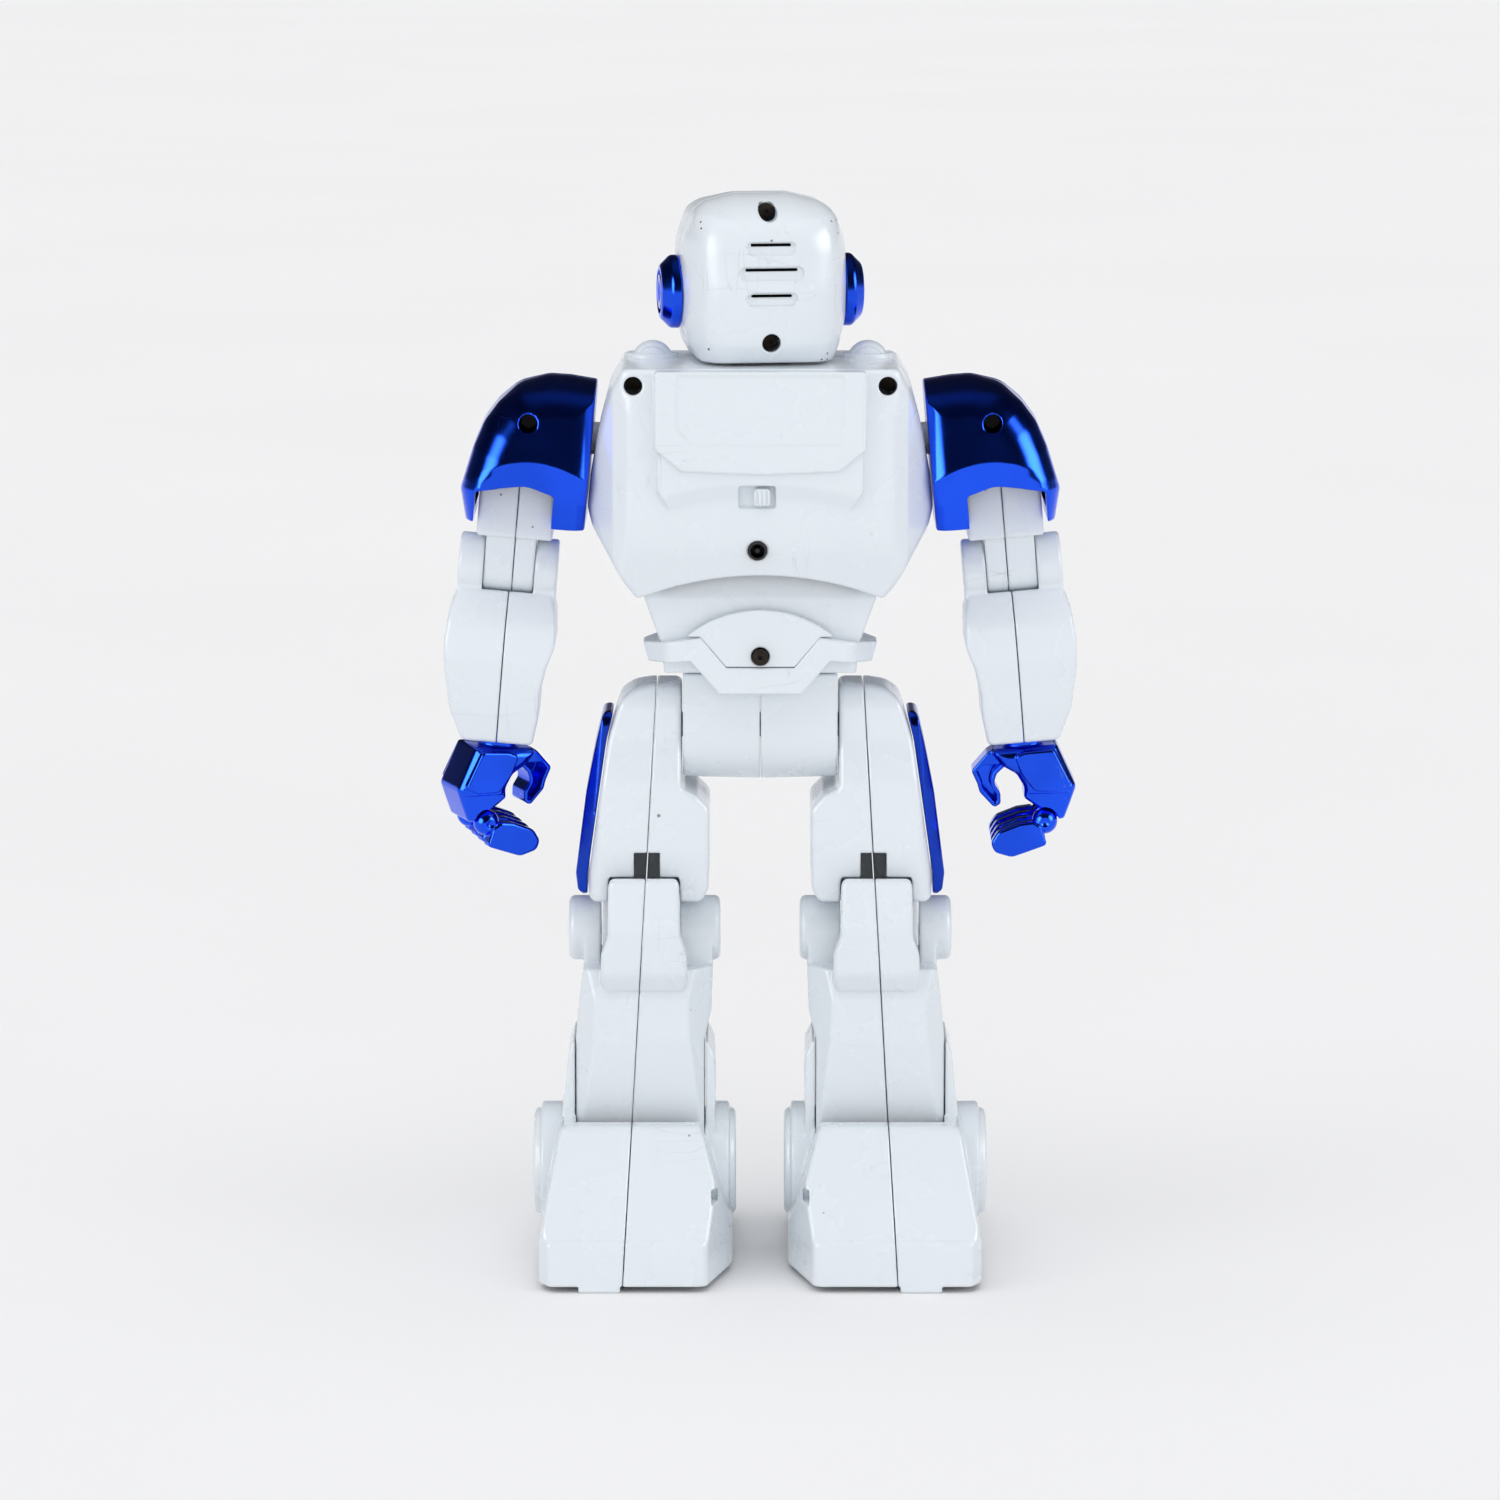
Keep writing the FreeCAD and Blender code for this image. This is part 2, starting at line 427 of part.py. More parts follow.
def arm_pieces(side):
    pieces = {**shoulder_pads(), **upper_arm(), **forearm(), **hand(side)}
    return {name + "_" + side: shoulder_frame(shape, side) for name, shape in pieces.items()}


# ---------------------------------------------------------------- legs, left one in place

THIGH_FRONT = [(19.3, 145.6, 2), (26.7, 145.6, 6), (30.9, 144.3, 6), (34.1, 141.8, 5), (35.3, 138.4, 10),
               (37.4, 131.5, 40), (40.9, 107.1, 40), (42.1, 98.4, 4), (42.1, 91.5, 2), (14.6, 91.5, 2),
               (12.6, 95.5, 4), (12.4, 115.4, 3), (15.5, 118.5, 3), (19.3, 120.4, 2)]
THIGH_SIDE = [(-THIGH_TOP_R, HIP_Z + THIGH_TOP_R, THIGH_TOP_R - 0.1), (-THIGH_TOP_R, HIP_Z - 2, 8), (-15, 122, 10),
              (-16, 105, 20), (-14, 91.5, 2), (14, 91.5, 2), (15.5, 105, 20), (15, 122, 10),
              (THIGH_TOP_R, HIP_Z - 2, 8), (THIGH_TOP_R, HIP_Z + THIGH_TOP_R, THIGH_TOP_R - 0.1)]
PANEL_FRONT = [(35.9, 138.6, 1), (38.5, 138.3, 2), (40.3, 131, 20), (42.8, 118.4, 30), (45.4, 98.3, 3),
               (44.9, 94.5, 1), (43.6, 92.9, 0.5), (42.5, 93.2), (42.4, 98.4, 4), (41.2, 107.1, 40),
               (37.7, 131.5, 40)]
PANEL_SIDE = [(-9, 138.6, 4), (-11, 110, 30), (-10, 92.9, 3), (10, 92.9, 3), (11, 110, 30), (9, 138.6, 4)]
SHANK_FRONT = [(11.6, 75.5, 1), (12.0, 64.1, 10), (13.8, 57.2, 1), (13.8, 10.6), (45.5, 10.6), (45.5, 57.2, 1),
               (44.9, 64.1, 10), (43.6, 75.5, 1)]
SHANK_SIDE = [(-15, 75.5, 1), (-17, 68, 6), (-17, 58, 10), (-13, 34, 4), (-13, ANKLE_Z - 13, 12.9),
              (13, ANKLE_Z - 13, 12.9), (13, 34, 4), (16.5, 58, 10), (17, 68, 6), (15, 75.5, 1)]
TONGUE_FRONT = [(20.4, 99.3, 1.5), (36.6, 99.3, 1.5), (37.2, 97, 2), (37.4, 84.5, 4), (39.0, 80, 4), (39.2, 73, 3),
                (38.2, 69.8, 1), (18.8, 69.8, 1), (17.8, 73, 3), (18.0, 80, 4), (19.6, 84.5, 4), (19.8, 97, 2)]
TONGUE_SIDE = [(18.2, 99.3, 0.6), (20.2, 98.2, 1), (21.2, 86, 20), (20.2, 75, 6), (17.0, 69.8), (14.0, 69.8),
               (14.4, 84), (15.6, 91)]
FOOT_FRONT = [(14.6, 38.0, 1), (49.0, 38.0, 1), (53.8, 13.1, 1), (54.4, 12.2, 1), (54.4, RIM_Z, 1), (6.6, RIM_Z, 1),
              (6.6, 12.2, 1), (7.4, 13.1, 1)]
FOOT_SIDE = [(-14, 38.0, 2), (-20, 31, 8), (-42, 19, 10), (-48, 10, 6), (-48, RIM_Z, 2), (40.5, RIM_Z, 1),
             (40.5, 12.2, 1), (39.4, 13.1, 1), (24.5, 38.0, 2)]
FOOT_TOP = [(12, -44, 6), (20, -48, 8), (44, -48, 8), (51.5, -42, 8), (54.4, -28, 10), (54.4, 36, 2), (51.5, 40.5, 2),
            (13.2, 40.5, 3), (6.6, 17, 6), (6.6, -32, 10)]


def thigh():
    outlines = {"front": THIGH_FRONT, "side": THIGH_SIDE}
    solid, cavity = block(outlines), block(outlines, WALL)
    recess = box((17.0, 40.0), (11.5, 30), (80, 98.6))
    keep = box((15.0, 42.0), (9.5, 30), (80, 100.6))
    shell = solid.cut(cavity.cut(keep)).cut(recess)
    shell = shell.cut(box((24.6, 31.0), (6, 30), (98.4, 104.6)))
    boss = rod_x(6.0, (19.6, 25.0), 0, HIP_Z)
    lug = rod_x(KNEE_R, (20.3, 38.8), 0, KNEE_Z).fuse(box((20.3, 38.8), (-KNEE_R, KNEE_R), (KNEE_Z, 93)))
    shell = shell.fuse(boss).cut(rod_x(HIP_AXLE_R + FIT, (10, 25.7), 0, HIP_Z))
    shell = shell.fuse(lug).cut(rod_x(PIN_R + FIT, (10, 45), 0, KNEE_Z))
    halves = split_leg(shell)
    panel = block({"front": PANEL_FRONT, "side": PANEL_SIDE})
    return {"thigh_inner": halves["inner"], "thigh_outer": halves["outer"], "thigh_side_panel": panel}


def shank():
    outlines = {"front": SHANK_FRONT, "side": SHANK_SIDE}
    shell = block(outlines).cut(block(outlines, WALL))
    for x in ((9.8, 19.8), (39.4, 47.3)):
        web = (x[0] + 2.0, x[1]) if x[0] < 20 else (x[0], x[1] - 3.8)
        shell = shell.fuse(rod_x(KNEE_R, x, 0, KNEE_Z)).fuse(box(web, (-KNEE_R, KNEE_R), (74.0, KNEE_Z)))
    shell = shell.fuse(block({"front": TONGUE_FRONT, "side": TONGUE_SIDE}))
    shell = shell.cut(rod_x(KNEE_R + 0.6, (19.8, 39.4), 0, KNEE_Z))
    for x in ((19.0, 27.0), (31.0, 40.0)):
        shell = shell.fuse(rod_x(PIN_R, x, 0, KNEE_Z))
    shell = shell.cut(rod_x(PIN_R + FIT, (10, 50), 0, ANKLE_Z))
    halves = split_leg(shell)
    return {"shank_inner": halves["inner"], "shank_outer": halves["outer"]}


def foot():
    outlines = {"front": FOOT_FRONT, "side": FOOT_SIDE, "top": FOOT_TOP}
    shell = block(outlines).cut(block(outlines, WALL)).cut(box((0, 60), (-46, 38.5), (0, RIM_Z + WALL)).common(
        prism(inset(FOOT_TOP, WALL), "top", 0, 10)))
    collars = [prism([(45.8, 14), (50.5, 14), (49.0, 38), (48.2, 44), (47.4, 53, 2), (46.2, 56.4, 0.3), (45.8, 56.4)],
                     "front", -12, 12),
               prism([(13.5, 14), (10.4, 14), (11.2, 38), (11.0, 44), (11.3, 53, 2), (12.9, 56.4, 0.3), (13.5, 56.4)],
                     "front", -12, 12)]
    discs = [rod_x(ANKLE_R, (46.5, 56.2), 0, ANKLE_Z), rod_x(ANKLE_R, (6.0, 12.5), 0, ANKLE_Z)]
    for piece in collars + discs:
        shell = shell.fuse(piece)
    shell = shell.cut(box((13.5, 45.8), (-18.0, 18.0), (11, 70))).cut(box((13.5, 45.8), (-15, 15), (5, 20)))
    for x in ((12.5, 20.0), (39.0, 47.0)):
        shell = shell.fuse(rod_x(PIN_R, x, 0, ANKLE_Z))
    halves = split_leg(shell)

    plate = prism(inset(FOOT_TOP, WALL + 0.2), "top", SOLE_Z, SOLE_Z + 1.8)
    skids = [box((34.8, 44.8), (32.0, 37.5), (0, SOLE_Z + 0.5)), box((18.0, 45.0), (-44.0, -39.0), (0, SOLE_Z + 0.5))]
    for skid in skids:
        plate = plate.fuse(skid)
    for x in WHEELS_X:
        half = WHEEL_W / 2 + 0.6
        plate = plate.cut(box((x - half, x + half), (WHEEL_Y - 8.4, WHEEL_Y + 8.4), (-1, 5)))
    wheels = [rod_x(WHEEL_R, (x - WHEEL_W / 2, x + WHEEL_W / 2), WHEEL_Y, WHEEL_R) for x in WHEELS_X]
    axle = rod_x(1.5, (12.5, 49.5), WHEEL_Y, WHEEL_R)
    wheels = [wheel.cut(rod_x(1.5, (0, 60), WHEEL_Y, WHEEL_R)) for wheel in wheels]
    drive = box((24.0, 38.0), (-36.0, -17.5), (3.2, 17.0)).cut(rod_x(1.5 + FIT, (0, 60), WHEEL_Y, WHEEL_R))
    return {"foot_inner": halves["inner"], "foot_outer": halves["outer"], "foot_sole": plate,
            "foot_wheels": Part.makeCompound(wheels + [axle]), "foot_drive": drive}


def leg_pieces(side):
    pieces = {**thigh(), **shank(), **foot()}
    if side == "right":
        pieces = {name: shape.mirror(V(0, 0, 0), V(1, 0, 0)) for name, shape in pieces.items()}
    return {name + "_" + side: shape for name, shape in pieces.items()}


def robot():
    pieces = {**head_pieces(), **torso_shells(), **waist_pieces(), **pelvis_halves(), **torso_internals()}
    for side in ("left", "right"):
        pieces.update(arm_pieces(side))
        pieces.update(leg_pieces(side))
    for shape in pieces.values():
        shape.translate(V(0, SHIFT_Y, 0))
    return pieces


os.makedirs("parts", exist_ok=True)
for node, piece in robot().items():
    piece.exportStep("parts/" + node + ".step")
    bounds = piece.BoundBox
    print(node, "solids", len(piece.Solids), "valid", piece.isValid(), "volume", round(piece.Volume),
          "x %.1f..%.1f y %.1f..%.1f z %.1f..%.1f" % (bounds.XMin, bounds.XMax, bounds.YMin, bounds.YMax,
                                                      bounds.ZMin, bounds.ZMax))
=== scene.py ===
"""Walking humanoid toy robot: finished surfaces, materials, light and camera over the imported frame."""
import json
from math import acos, cos, radians, sin, tan

import bpy
import numpy as np
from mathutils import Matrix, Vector

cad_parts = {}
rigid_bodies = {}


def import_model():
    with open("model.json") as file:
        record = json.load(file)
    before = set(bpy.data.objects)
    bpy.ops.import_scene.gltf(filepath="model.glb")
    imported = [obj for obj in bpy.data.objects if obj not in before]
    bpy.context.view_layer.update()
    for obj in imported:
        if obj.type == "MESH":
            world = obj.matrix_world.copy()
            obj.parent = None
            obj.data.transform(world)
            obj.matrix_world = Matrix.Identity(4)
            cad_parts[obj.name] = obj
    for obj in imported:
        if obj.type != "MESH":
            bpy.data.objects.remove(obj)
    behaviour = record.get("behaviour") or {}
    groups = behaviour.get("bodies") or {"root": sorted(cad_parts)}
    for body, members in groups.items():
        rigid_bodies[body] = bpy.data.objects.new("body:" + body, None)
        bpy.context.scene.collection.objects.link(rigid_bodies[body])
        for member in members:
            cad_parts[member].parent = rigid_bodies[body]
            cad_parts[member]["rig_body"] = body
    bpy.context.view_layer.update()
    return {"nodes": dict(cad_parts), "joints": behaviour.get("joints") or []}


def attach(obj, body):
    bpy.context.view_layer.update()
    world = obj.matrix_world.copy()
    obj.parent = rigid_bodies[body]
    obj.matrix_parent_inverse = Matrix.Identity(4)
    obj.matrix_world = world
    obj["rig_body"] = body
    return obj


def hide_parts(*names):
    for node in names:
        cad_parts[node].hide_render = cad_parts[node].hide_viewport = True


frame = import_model()

# Shapes are signed distance fields in mm, negative inside. A field takes an (n, 3) array of points.
# Body fields have y = 0 on the joint axes; arm fields have their origin on the shoulder joint.
JOINTS = {joint["name"]: joint for joint in frame["joints"]}


def joint_point(name):
    return np.array(JOINTS[name]["pos_m"]) * 1000


AXIS_Y = joint_point("hip_left")[1]
HIP_Z, KNEE_Z, ANKLE_Z = (joint_point(name)[2] for name in ("hip_left", "knee_left", "ankle_left"))
SHOULDER = joint_point("shoulder_left")
ARM_TILT = 5.0                      # degrees that each arm hangs outwards
HEAD_YAW = 7.5                      # degrees that the head rests turned
HAND_TURN = {"left": 25.0, "right": 0.0}
WALL = 2.2                          # depth of wall shown at every opening and seam
SEAM = 0.12                         # half of the gap between two shell halves
EDGE = 0.3                          # radius of an ordinary moulded edge
COARSE = 1.0


# ---------------------------------------------------------------- materials

class Graph:
    """Short ways to add linked nodes to a material or a world."""

    def __init__(self, owner):
        owner.use_nodes = True
        self.tree = owner.node_tree

    def node(self, kind, inputs=(), **settings):
        node = self.tree.nodes.new(kind)
        for key, value in settings.items():
            setattr(node, key, value)
        for key, value in dict(inputs).items():
            if isinstance(value, bpy.types.NodeSocket):
                self.tree.links.new(value, node.inputs[key])
            else:
                node.inputs[key].default_value = value
        return node

    def ramp(self, value, low, high, start=0.0, end=1.0):
        inputs = {0: value, 1: low, 2: high, 3: start, 4: end}
        return self.node("ShaderNodeMapRange", inputs, interpolation_type="SMOOTHSTEP").outputs[0]

    def maths(self, operation, first, second=0.0):
        return self.node("ShaderNodeMath", {0: first, 1: second}, operation=operation).outputs[0]

    def mix(self, share, *colours, **settings):
        first, second = [(*c, 1) if isinstance(c, tuple) else c for c in colours]
        inputs = {0: share, 6: first, 7: second}
        return self.node("ShaderNodeMix", inputs, data_type="RGBA", **settings).outputs[2]


class Finish(Graph):
    """A material under construction; coordinates are object positions in metres."""

    def __init__(self, name, **sockets):
        self.made = bpy.data.materials.new(name)
        super().__init__(self.made)
        self.shader = self.tree.nodes["Principled BSDF"]
        self.position = self.node("ShaderNodeTexCoord").outputs["Object"]
        for socket, value in sockets.items():
            self.shader.inputs[socket.replace("_", " ")].default_value = value

    def set(self, socket, source):
        self.tree.links.new(source, self.shader.inputs[socket])

    def tint(self, colour, mask, strength, over):
        """The colour with another one laid over it where the mask is."""
        return self.mix(self.maths("MULTIPLY", mask, strength), colour, over)

    def distance(self, place, point):
        return self.node("ShaderNodeVectorMath", {0: place, 1: point}, operation="DISTANCE").outputs["Value"]

    def noise(self, scale, detail=3.0, stretch=(1, 1, 1), turn=(0, 0, 0)):
        mapped = self.node("ShaderNodeMapping", {"Vector": self.position, "Scale": stretch, "Rotation": turn})
        inputs = {"Vector": mapped.outputs[0], "Scale": scale, "Detail": detail}
        return self.node("ShaderNodeTexNoise", inputs).outputs[0]

    def hairlines(self, scale, stretch, turn, width=0.006, amount=(0.56, 0.64)):
        """Sparse thin curved scratches, as a 0 to 1 mask."""
        wave = self.noise(scale, 1.0, stretch, turn)
        line = self.ramp(self.maths("ABSOLUTE", self.maths("SUBTRACT", wave, 0.5)), 0.0, width, 1.0, 0.0)
        return self.maths("MULTIPLY", line, self.ramp(self.noise(38, 2.0), *amount))

    def specks(self, scale, size, amount=(0.6, 0.62)):
        """Scattered small spots, as a 0 to 1 mask."""
        cells = self.node("ShaderNodeTexVoronoi", {"Vector": self.position, "Scale": scale})
        spot = self.ramp(cells.outputs["Distance"], size * 0.6, size, 1.0, 0.0)
        return self.maths("MULTIPLY", spot, self.ramp(self.noise(45, 2.0), *amount))

    def bump(self, height, distance, strength=1.0, normal=None):
        inputs = {"Height": height, "Distance": distance, "Strength": strength}
        if normal is not None:
            inputs["Normal"] = normal
        return self.node("ShaderNodeBump", inputs).outputs[0]


def white_plastic(name, stain_at=None):
    """Glossy white ABS with faint clouding, hairline scratches, grey scuffs and dark specks."""
    f = Finish(name, IOR=1.49, Coat_Weight=0.25, Coat_Roughness=0.08)
    cloud = f.ramp(f.noise(16, 3.0), 0.35, 0.7)
    colour = f.mix(cloud, (0.735, 0.785, 0.830), (0.748, 0.797, 0.841))
    scratches = f.maths("MAXIMUM", f.hairlines(30, (1, 1, 7), (0.3, 0.5, 0.7)),
                        f.hairlines(24, (6, 1, 1), (0.9, 0.2, 1.9)))
    scuffs = f.maths("MULTIPLY", f.ramp(f.noise(70, 4.0, (1, 1, 2.5), (0.4, 0.8, 0.2)), 0.62, 0.72),
                     f.ramp(f.noise(26, 1.0), 0.55, 0.68))
    colour = f.tint(colour, scuffs, 0.05, (0.60, 0.63, 0.68))
    colour = f.tint(colour, scratches, 0.55, (0.52, 0.55, 0.60))
    specks = f.maths("MAXIMUM", f.specks(190, 0.075), f.specks(90, 0.05, (0.54, 0.58)))
    colour = f.tint(colour, specks, 0.75, (0.09, 0.09, 0.10))
    if stain_at:
        away = f.distance(f.position, stain_at)
        ragged = f.maths("ADD", away, f.ramp(f.noise(420, 3.0), 0.3, 0.7, -0.0011, 0.0011))
        colour = f.tint(colour, f.ramp(ragged, 0.0008, 0.0024, 1.0, 0.0), 0.65, (0.62, 0.45, 0.17))
    f.set("Base Color", colour)
    rough = f.ramp(f.noise(55, 4.0), 0.3, 0.75, 0.20, 0.34)
    rough = f.maths("ADD", rough, f.maths("MULTIPLY", scratches, 0.25))
    f.set("Roughness", rough)
    peel = f.bump(f.noise(700, 2.0), 0.00003, 0.35)
    f.set("Normal", f.bump(f.maths("SUBTRACT", 1.0, scratches), 0.00006, 0.5, peel))
    return f.made


def blue_chrome(name, base, roughness, painted_shade_at=None):
    """Blue vacuum-metallised plastic with fine handling marks and tiny chips; the screw wells get painted shade,
    near black.
    """
    f = Finish(name, Metallic=1.0, Coat_Weight=0.12, Coat_Roughness=0.05)
    cloud = f.ramp(f.noise(34, 3.0), 0.35, 0.7)
    colour = f.mix(cloud, base, tuple(1.25 * c for c in base))
    marks = f.maths("MAXIMUM", f.hairlines(46, (1, 1, 6), (0.2, 0.6, 0.4), 0.005),
                    f.hairlines(40, (5, 1, 1), (1.2, 0.1, 0.8), 0.005))
    colour = f.tint(colour, marks, 0.25, (0.18, 0.28, 0.80))
    colour = f.tint(colour, f.specks(260, 0.07, (0.6, 0.64)), 0.8, (0.62, 0.68, 0.86))
    # Painted shade: the blue is painted near black within 5 to 7.5 mm of the well point, mirrored across x to
    # both pads.
    if painted_shade_at:
        x, y, z = f.node("ShaderNodeSeparateXYZ", {0: f.position}).outputs
        either_side = f.node("ShaderNodeCombineXYZ", {0: f.maths("ABSOLUTE", x), 1: y, 2: z}).outputs[0]
        well_shade = f.ramp(f.distance(either_side, painted_shade_at), 0.0050, 0.0075, 1.0, 0.0)
        colour = f.mix(well_shade, colour, (0.002, 0.002, 0.003))
    f.set("Base Color", colour)
    f.set("Roughness", f.maths("ADD", f.ramp(f.noise(80, 4.0), 0.3, 0.75, roughness, roughness + 0.08),
                               f.maths("MULTIPLY", marks, 0.15)))
    f.set("Normal", f.bump(f.noise(260, 2.0), 0.00003, 0.3))
    return f.made


def plain_plastic(name, dark, light, roughness, grain=500, depth=0.00004, **sockets):
    """A moulded plastic or rubber with a fine grain and dusty clouding."""
    f = Finish(name, **sockets)
    dust = f.ramp(f.noise(60, 5.0), 0.35, 0.75)
    colour = f.mix(dust, dark, light)
    colour = f.tint(colour, f.specks(300, 0.09, (0.5, 0.6)), 0.5, tuple(min(1.0, c + 0.18) for c in light))
    f.set("Base Color", colour)
    f.set("Roughness", f.ramp(f.noise(90, 4.0), 0.3, 0.75, roughness, roughness + 0.15))
    f.set("Normal", f.bump(f.noise(grain, 3.0), depth, 0.5))
    return f.made


def metal(name, base, roughness, stretch=(1, 1, 1)):
    """Steel or a motor can, with fine turning lines along one direction."""
    f = Finish(name, Metallic=1.0)
    lines = f.noise(300, 3.0, stretch)
    f.set("Base Color", f.mix(f.ramp(lines, 0.3, 0.7), tuple(0.7 * c for c in base), base))
    f.set("Roughness", f.ramp(lines, 0.3, 0.7, roughness, roughness + 0.18))
    f.set("Normal", f.bump(lines, 0.00003, 0.4))
    return f.made


def board(name):
    """Green solder mask with a grid of copper tracks under it."""
    f = Finish(name, Roughness=0.35)
    scaled = f.node("ShaderNodeMapping", {"Vector": f.position, "Rotation": (radians(90), 0, 0)}).outputs[0]
    bricks = f.node("ShaderNodeTexBrick", {"Vector": scaled, "Scale": 160.0, "Mortar Size": 0.05,
                                           "Color1": (0.01, 0.09, 0.03, 1), "Color2": (0.01, 0.12, 0.04, 1),
                                           "Mortar": (0.05, 0.26, 0.09, 1)})
    dust = f.ramp(f.noise(90, 4.0), 0.3, 0.7, 0.0, 0.4)
    f.set("Base Color", f.mix(dust, bricks.outputs[0], (0.02, 0.06, 0.03)))
    f.set("Roughness", f.ramp(f.noise(200, 3.0), 0.3, 0.7, 0.25, 0.5))
    f.set("Normal", f.bump(bricks.outputs["Fac"], 0.0001, 0.5))
    return f.made


def wrap(name):
    """Shrink-wrapped cells: a smooth coloured sleeve with a band and slight wrinkles."""
    f = Finish(name, Roughness=0.3, Coat_Weight=0.3)
    height = f.node("ShaderNodeSeparateXYZ", {0: f.position}).outputs[2]
    band = f.maths("MULTIPLY", f.ramp(height, 0.2050, 0.2054), f.ramp(height, 0.2090, 0.2094, 1.0, 0.0))
    colour = f.mix(f.ramp(f.noise(70, 3.0), 0.3, 0.7), (0.02, 0.16, 0.30), (0.03, 0.21, 0.38))
    f.set("Base Color", f.mix(band, colour, (0.75, 0.76, 0.78)))
    f.set("Roughness", f.ramp(f.noise(120, 3.0), 0.3, 0.7, 0.22, 0.42))
    f.set("Normal", f.bump(f.noise(180, 3.0, (1, 1, 4)), 0.00015, 0.4))
    return f.made


def lens_glow(name):
    """A pale blue light lens with a faint inner glow and cloudy depth."""
    f = Finish(name, IOR=1.5, Coat_Weight=0.5)
    cloud = f.ramp(f.noise(240, 3.0), 0.3, 0.7)
    colour = f.mix(cloud, (0.05, 0.32, 0.85), (0.25, 0.62, 0.95))
    f.set("Base Color", colour)
    f.set("Emission Color", colour)
    f.shader.inputs["Emission Strength"].default_value = 0.5
    f.set("Roughness", f.ramp(f.noise(150, 3.0), 0.3, 0.7, 0.12, 0.25))
    f.set("Normal", f.bump(f.noise(600, 2.0), 0.00003, 0.4))
    return f.made


STAIN_AT = (-0.0052, 0.0235, 0.2585)          # on the back of the head
# Centre of the painted shade in both pads' screw wells.
SHADED_WELL_AT = (0.0562, 0.0132, 0.2103)           # bottom of the left pad's screw well
MATERIALS = {
    "white_shell": white_plastic("white_shell"),
    "white_head": white_plastic("white_head", STAIN_AT),
    "white_knob": white_plastic("white_knob"),
    "blue_metallised": blue_chrome("blue_metallised", (0.012, 0.080, 0.78), 0.12, SHADED_WELL_AT),
    "blue_panel": blue_chrome("blue_panel", (0.008, 0.045, 0.45), 0.16),
    "black_visor": plain_plastic("black_visor", (0.006, 0.007, 0.010), (0.012, 0.013, 0.018), 0.06, 300,
                                 0.00001, Coat_Weight=0.6),
    "eye_light": lens_glow("eye_light"),
    "black_plastic": plain_plastic("black_plastic", (0.010, 0.010, 0.012), (0.022, 0.022, 0.025), 0.4),
    "circuit_board": board("circuit_board"),
    "battery_wrap": wrap("battery_wrap"),
    "motor_can": metal("motor_can", (0.55, 0.56, 0.58), 0.25, (1, 12, 12)),
    "axle_steel": metal("axle_steel", (0.62, 0.62, 0.64), 0.22, (12, 1, 1)),
    "screw_steel": metal("screw_steel", (0.045, 0.038, 0.032), 0.45, (1, 8, 1)),
    "grey_sole": plain_plastic("grey_sole", (0.30, 0.31, 0.34), (0.42, 0.43, 0.46), 0.45, 420, 0.00006),
    "wheel_rubber": plain_plastic("wheel_rubber", (0.018, 0.018, 0.020), (0.05, 0.05, 0.052), 0.6, 380,
                                  0.0001),
}


# ---------------------------------------------------------------- distance fields

class Outline:
    """A closed outline of straight edges and exact arcs; a corner is (a, b) or (a, b, radius)."""

    def __init__(self, corners):
        points = [np.array(corner[:2], float) for corner in corners]
        self.lines, self.arcs, ends = [], [], []
        for i, corner in enumerate(corners):
            back, ahead = points[i - 1] - points[i], points[(i + 1) % len(points)] - points[i]
            back_length, ahead_length = np.hypot(*back), np.hypot(*ahead)
            back, ahead = back / back_length, ahead / ahead_length
            half = acos(np.clip(back @ ahead, -1, 1)) / 2
            reach = 0.0
            if len(corner) > 2:
                reach = min(corner[2] / tan(half), 0.49 * back_length, 0.49 * ahead_length)
                towards = (back + ahead) / np.hypot(*(back + ahead))
                radius = reach * tan(half)
                self.arcs.append((points[i] + towards * radius / sin(half), radius, -towards, sin(half)))
            ends.append((points[i] + back * reach, points[i] + ahead * reach))
        self.path = []
        for i, (enter, leave) in enumerate(ends):
            self.path += [(enter, leave), (leave, ends[(i + 1) % len(ends)][0])]
        self.lines = [edge for edge in self.path[1::2] if np.hypot(*(edge[1] - edge[0])) > 1e-6]

    def distance(self, a, b):
        nearest = np.full(a.shape, 1e12)
        inside = np.zeros(a.shape, bool)
        for (start_a, start_b), (end_a, end_b) in self.path:
            if start_b == end_b:
                continue
            across = (start_b > b) != (end_b > b)
            inside ^= across & (a < start_a + (b - start_b) * (end_a - start_a) / (end_b - start_b))
        for start, end in self.lines:
            run_a, run_b = end - start
            off_a, off_b = a - start[0], b - start[1]
            share = np.clip((off_a * run_a + off_b * run_b) / (run_a ** 2 + run_b ** 2), 0, 1)
            np.minimum(nearest, (off_a - run_a * share) ** 2 + (off_b - run_b * share) ** 2, out=nearest)
        nearest = np.sqrt(nearest)
        for centre, radius, outward, span in self.arcs:
            off_a, off_b = a - centre[0], b - centre[1]
            length = np.hypot(off_a, off_b)
            along = off_a * outward[0] + off_b * outward[1]
            on_arc = along >= length * span
            nearest = np.where(on_arc, np.minimum(nearest, np.abs(length - radius)), nearest)
            inside ^= (length < radius) & (along > radius * span)
        return np.where(inside, -nearest, nearest)


PLANES = {"front": (0, 2), "side": (1, 2), "top": (0, 1)}
X, Y, Z = 0, 1, 2


def prism(plane, corners):
    """The endless prism whose front (x, z), side (y, z) or top (x, y) outline is given."""
    outline = Outline(corners)
    first, second = PLANES[plane]
    return lambda p: outline.distance(p[:, first], p[:, second])


def below(axis, limit):
    return lambda p: p[:, axis] - limit


def above(axis, limit):
    return lambda p: limit - p[:, axis]


def slope(point, normal):
    """The half space behind a plane through point."""
    unit = np.array(normal, float) / np.linalg.norm(normal)
    offset = unit @ np.array(point, float)
    return lambda p: p @ unit - offset


def rod(axis, centre, radius):
    """An endless cylinder along an axis; centre gives the other two coordinates in order."""
    first, second = [i for i in (X, Y, Z) if i != axis]
    return lambda p: np.hypot(p[:, first] - centre[0], p[:, second] - centre[1]) - radius


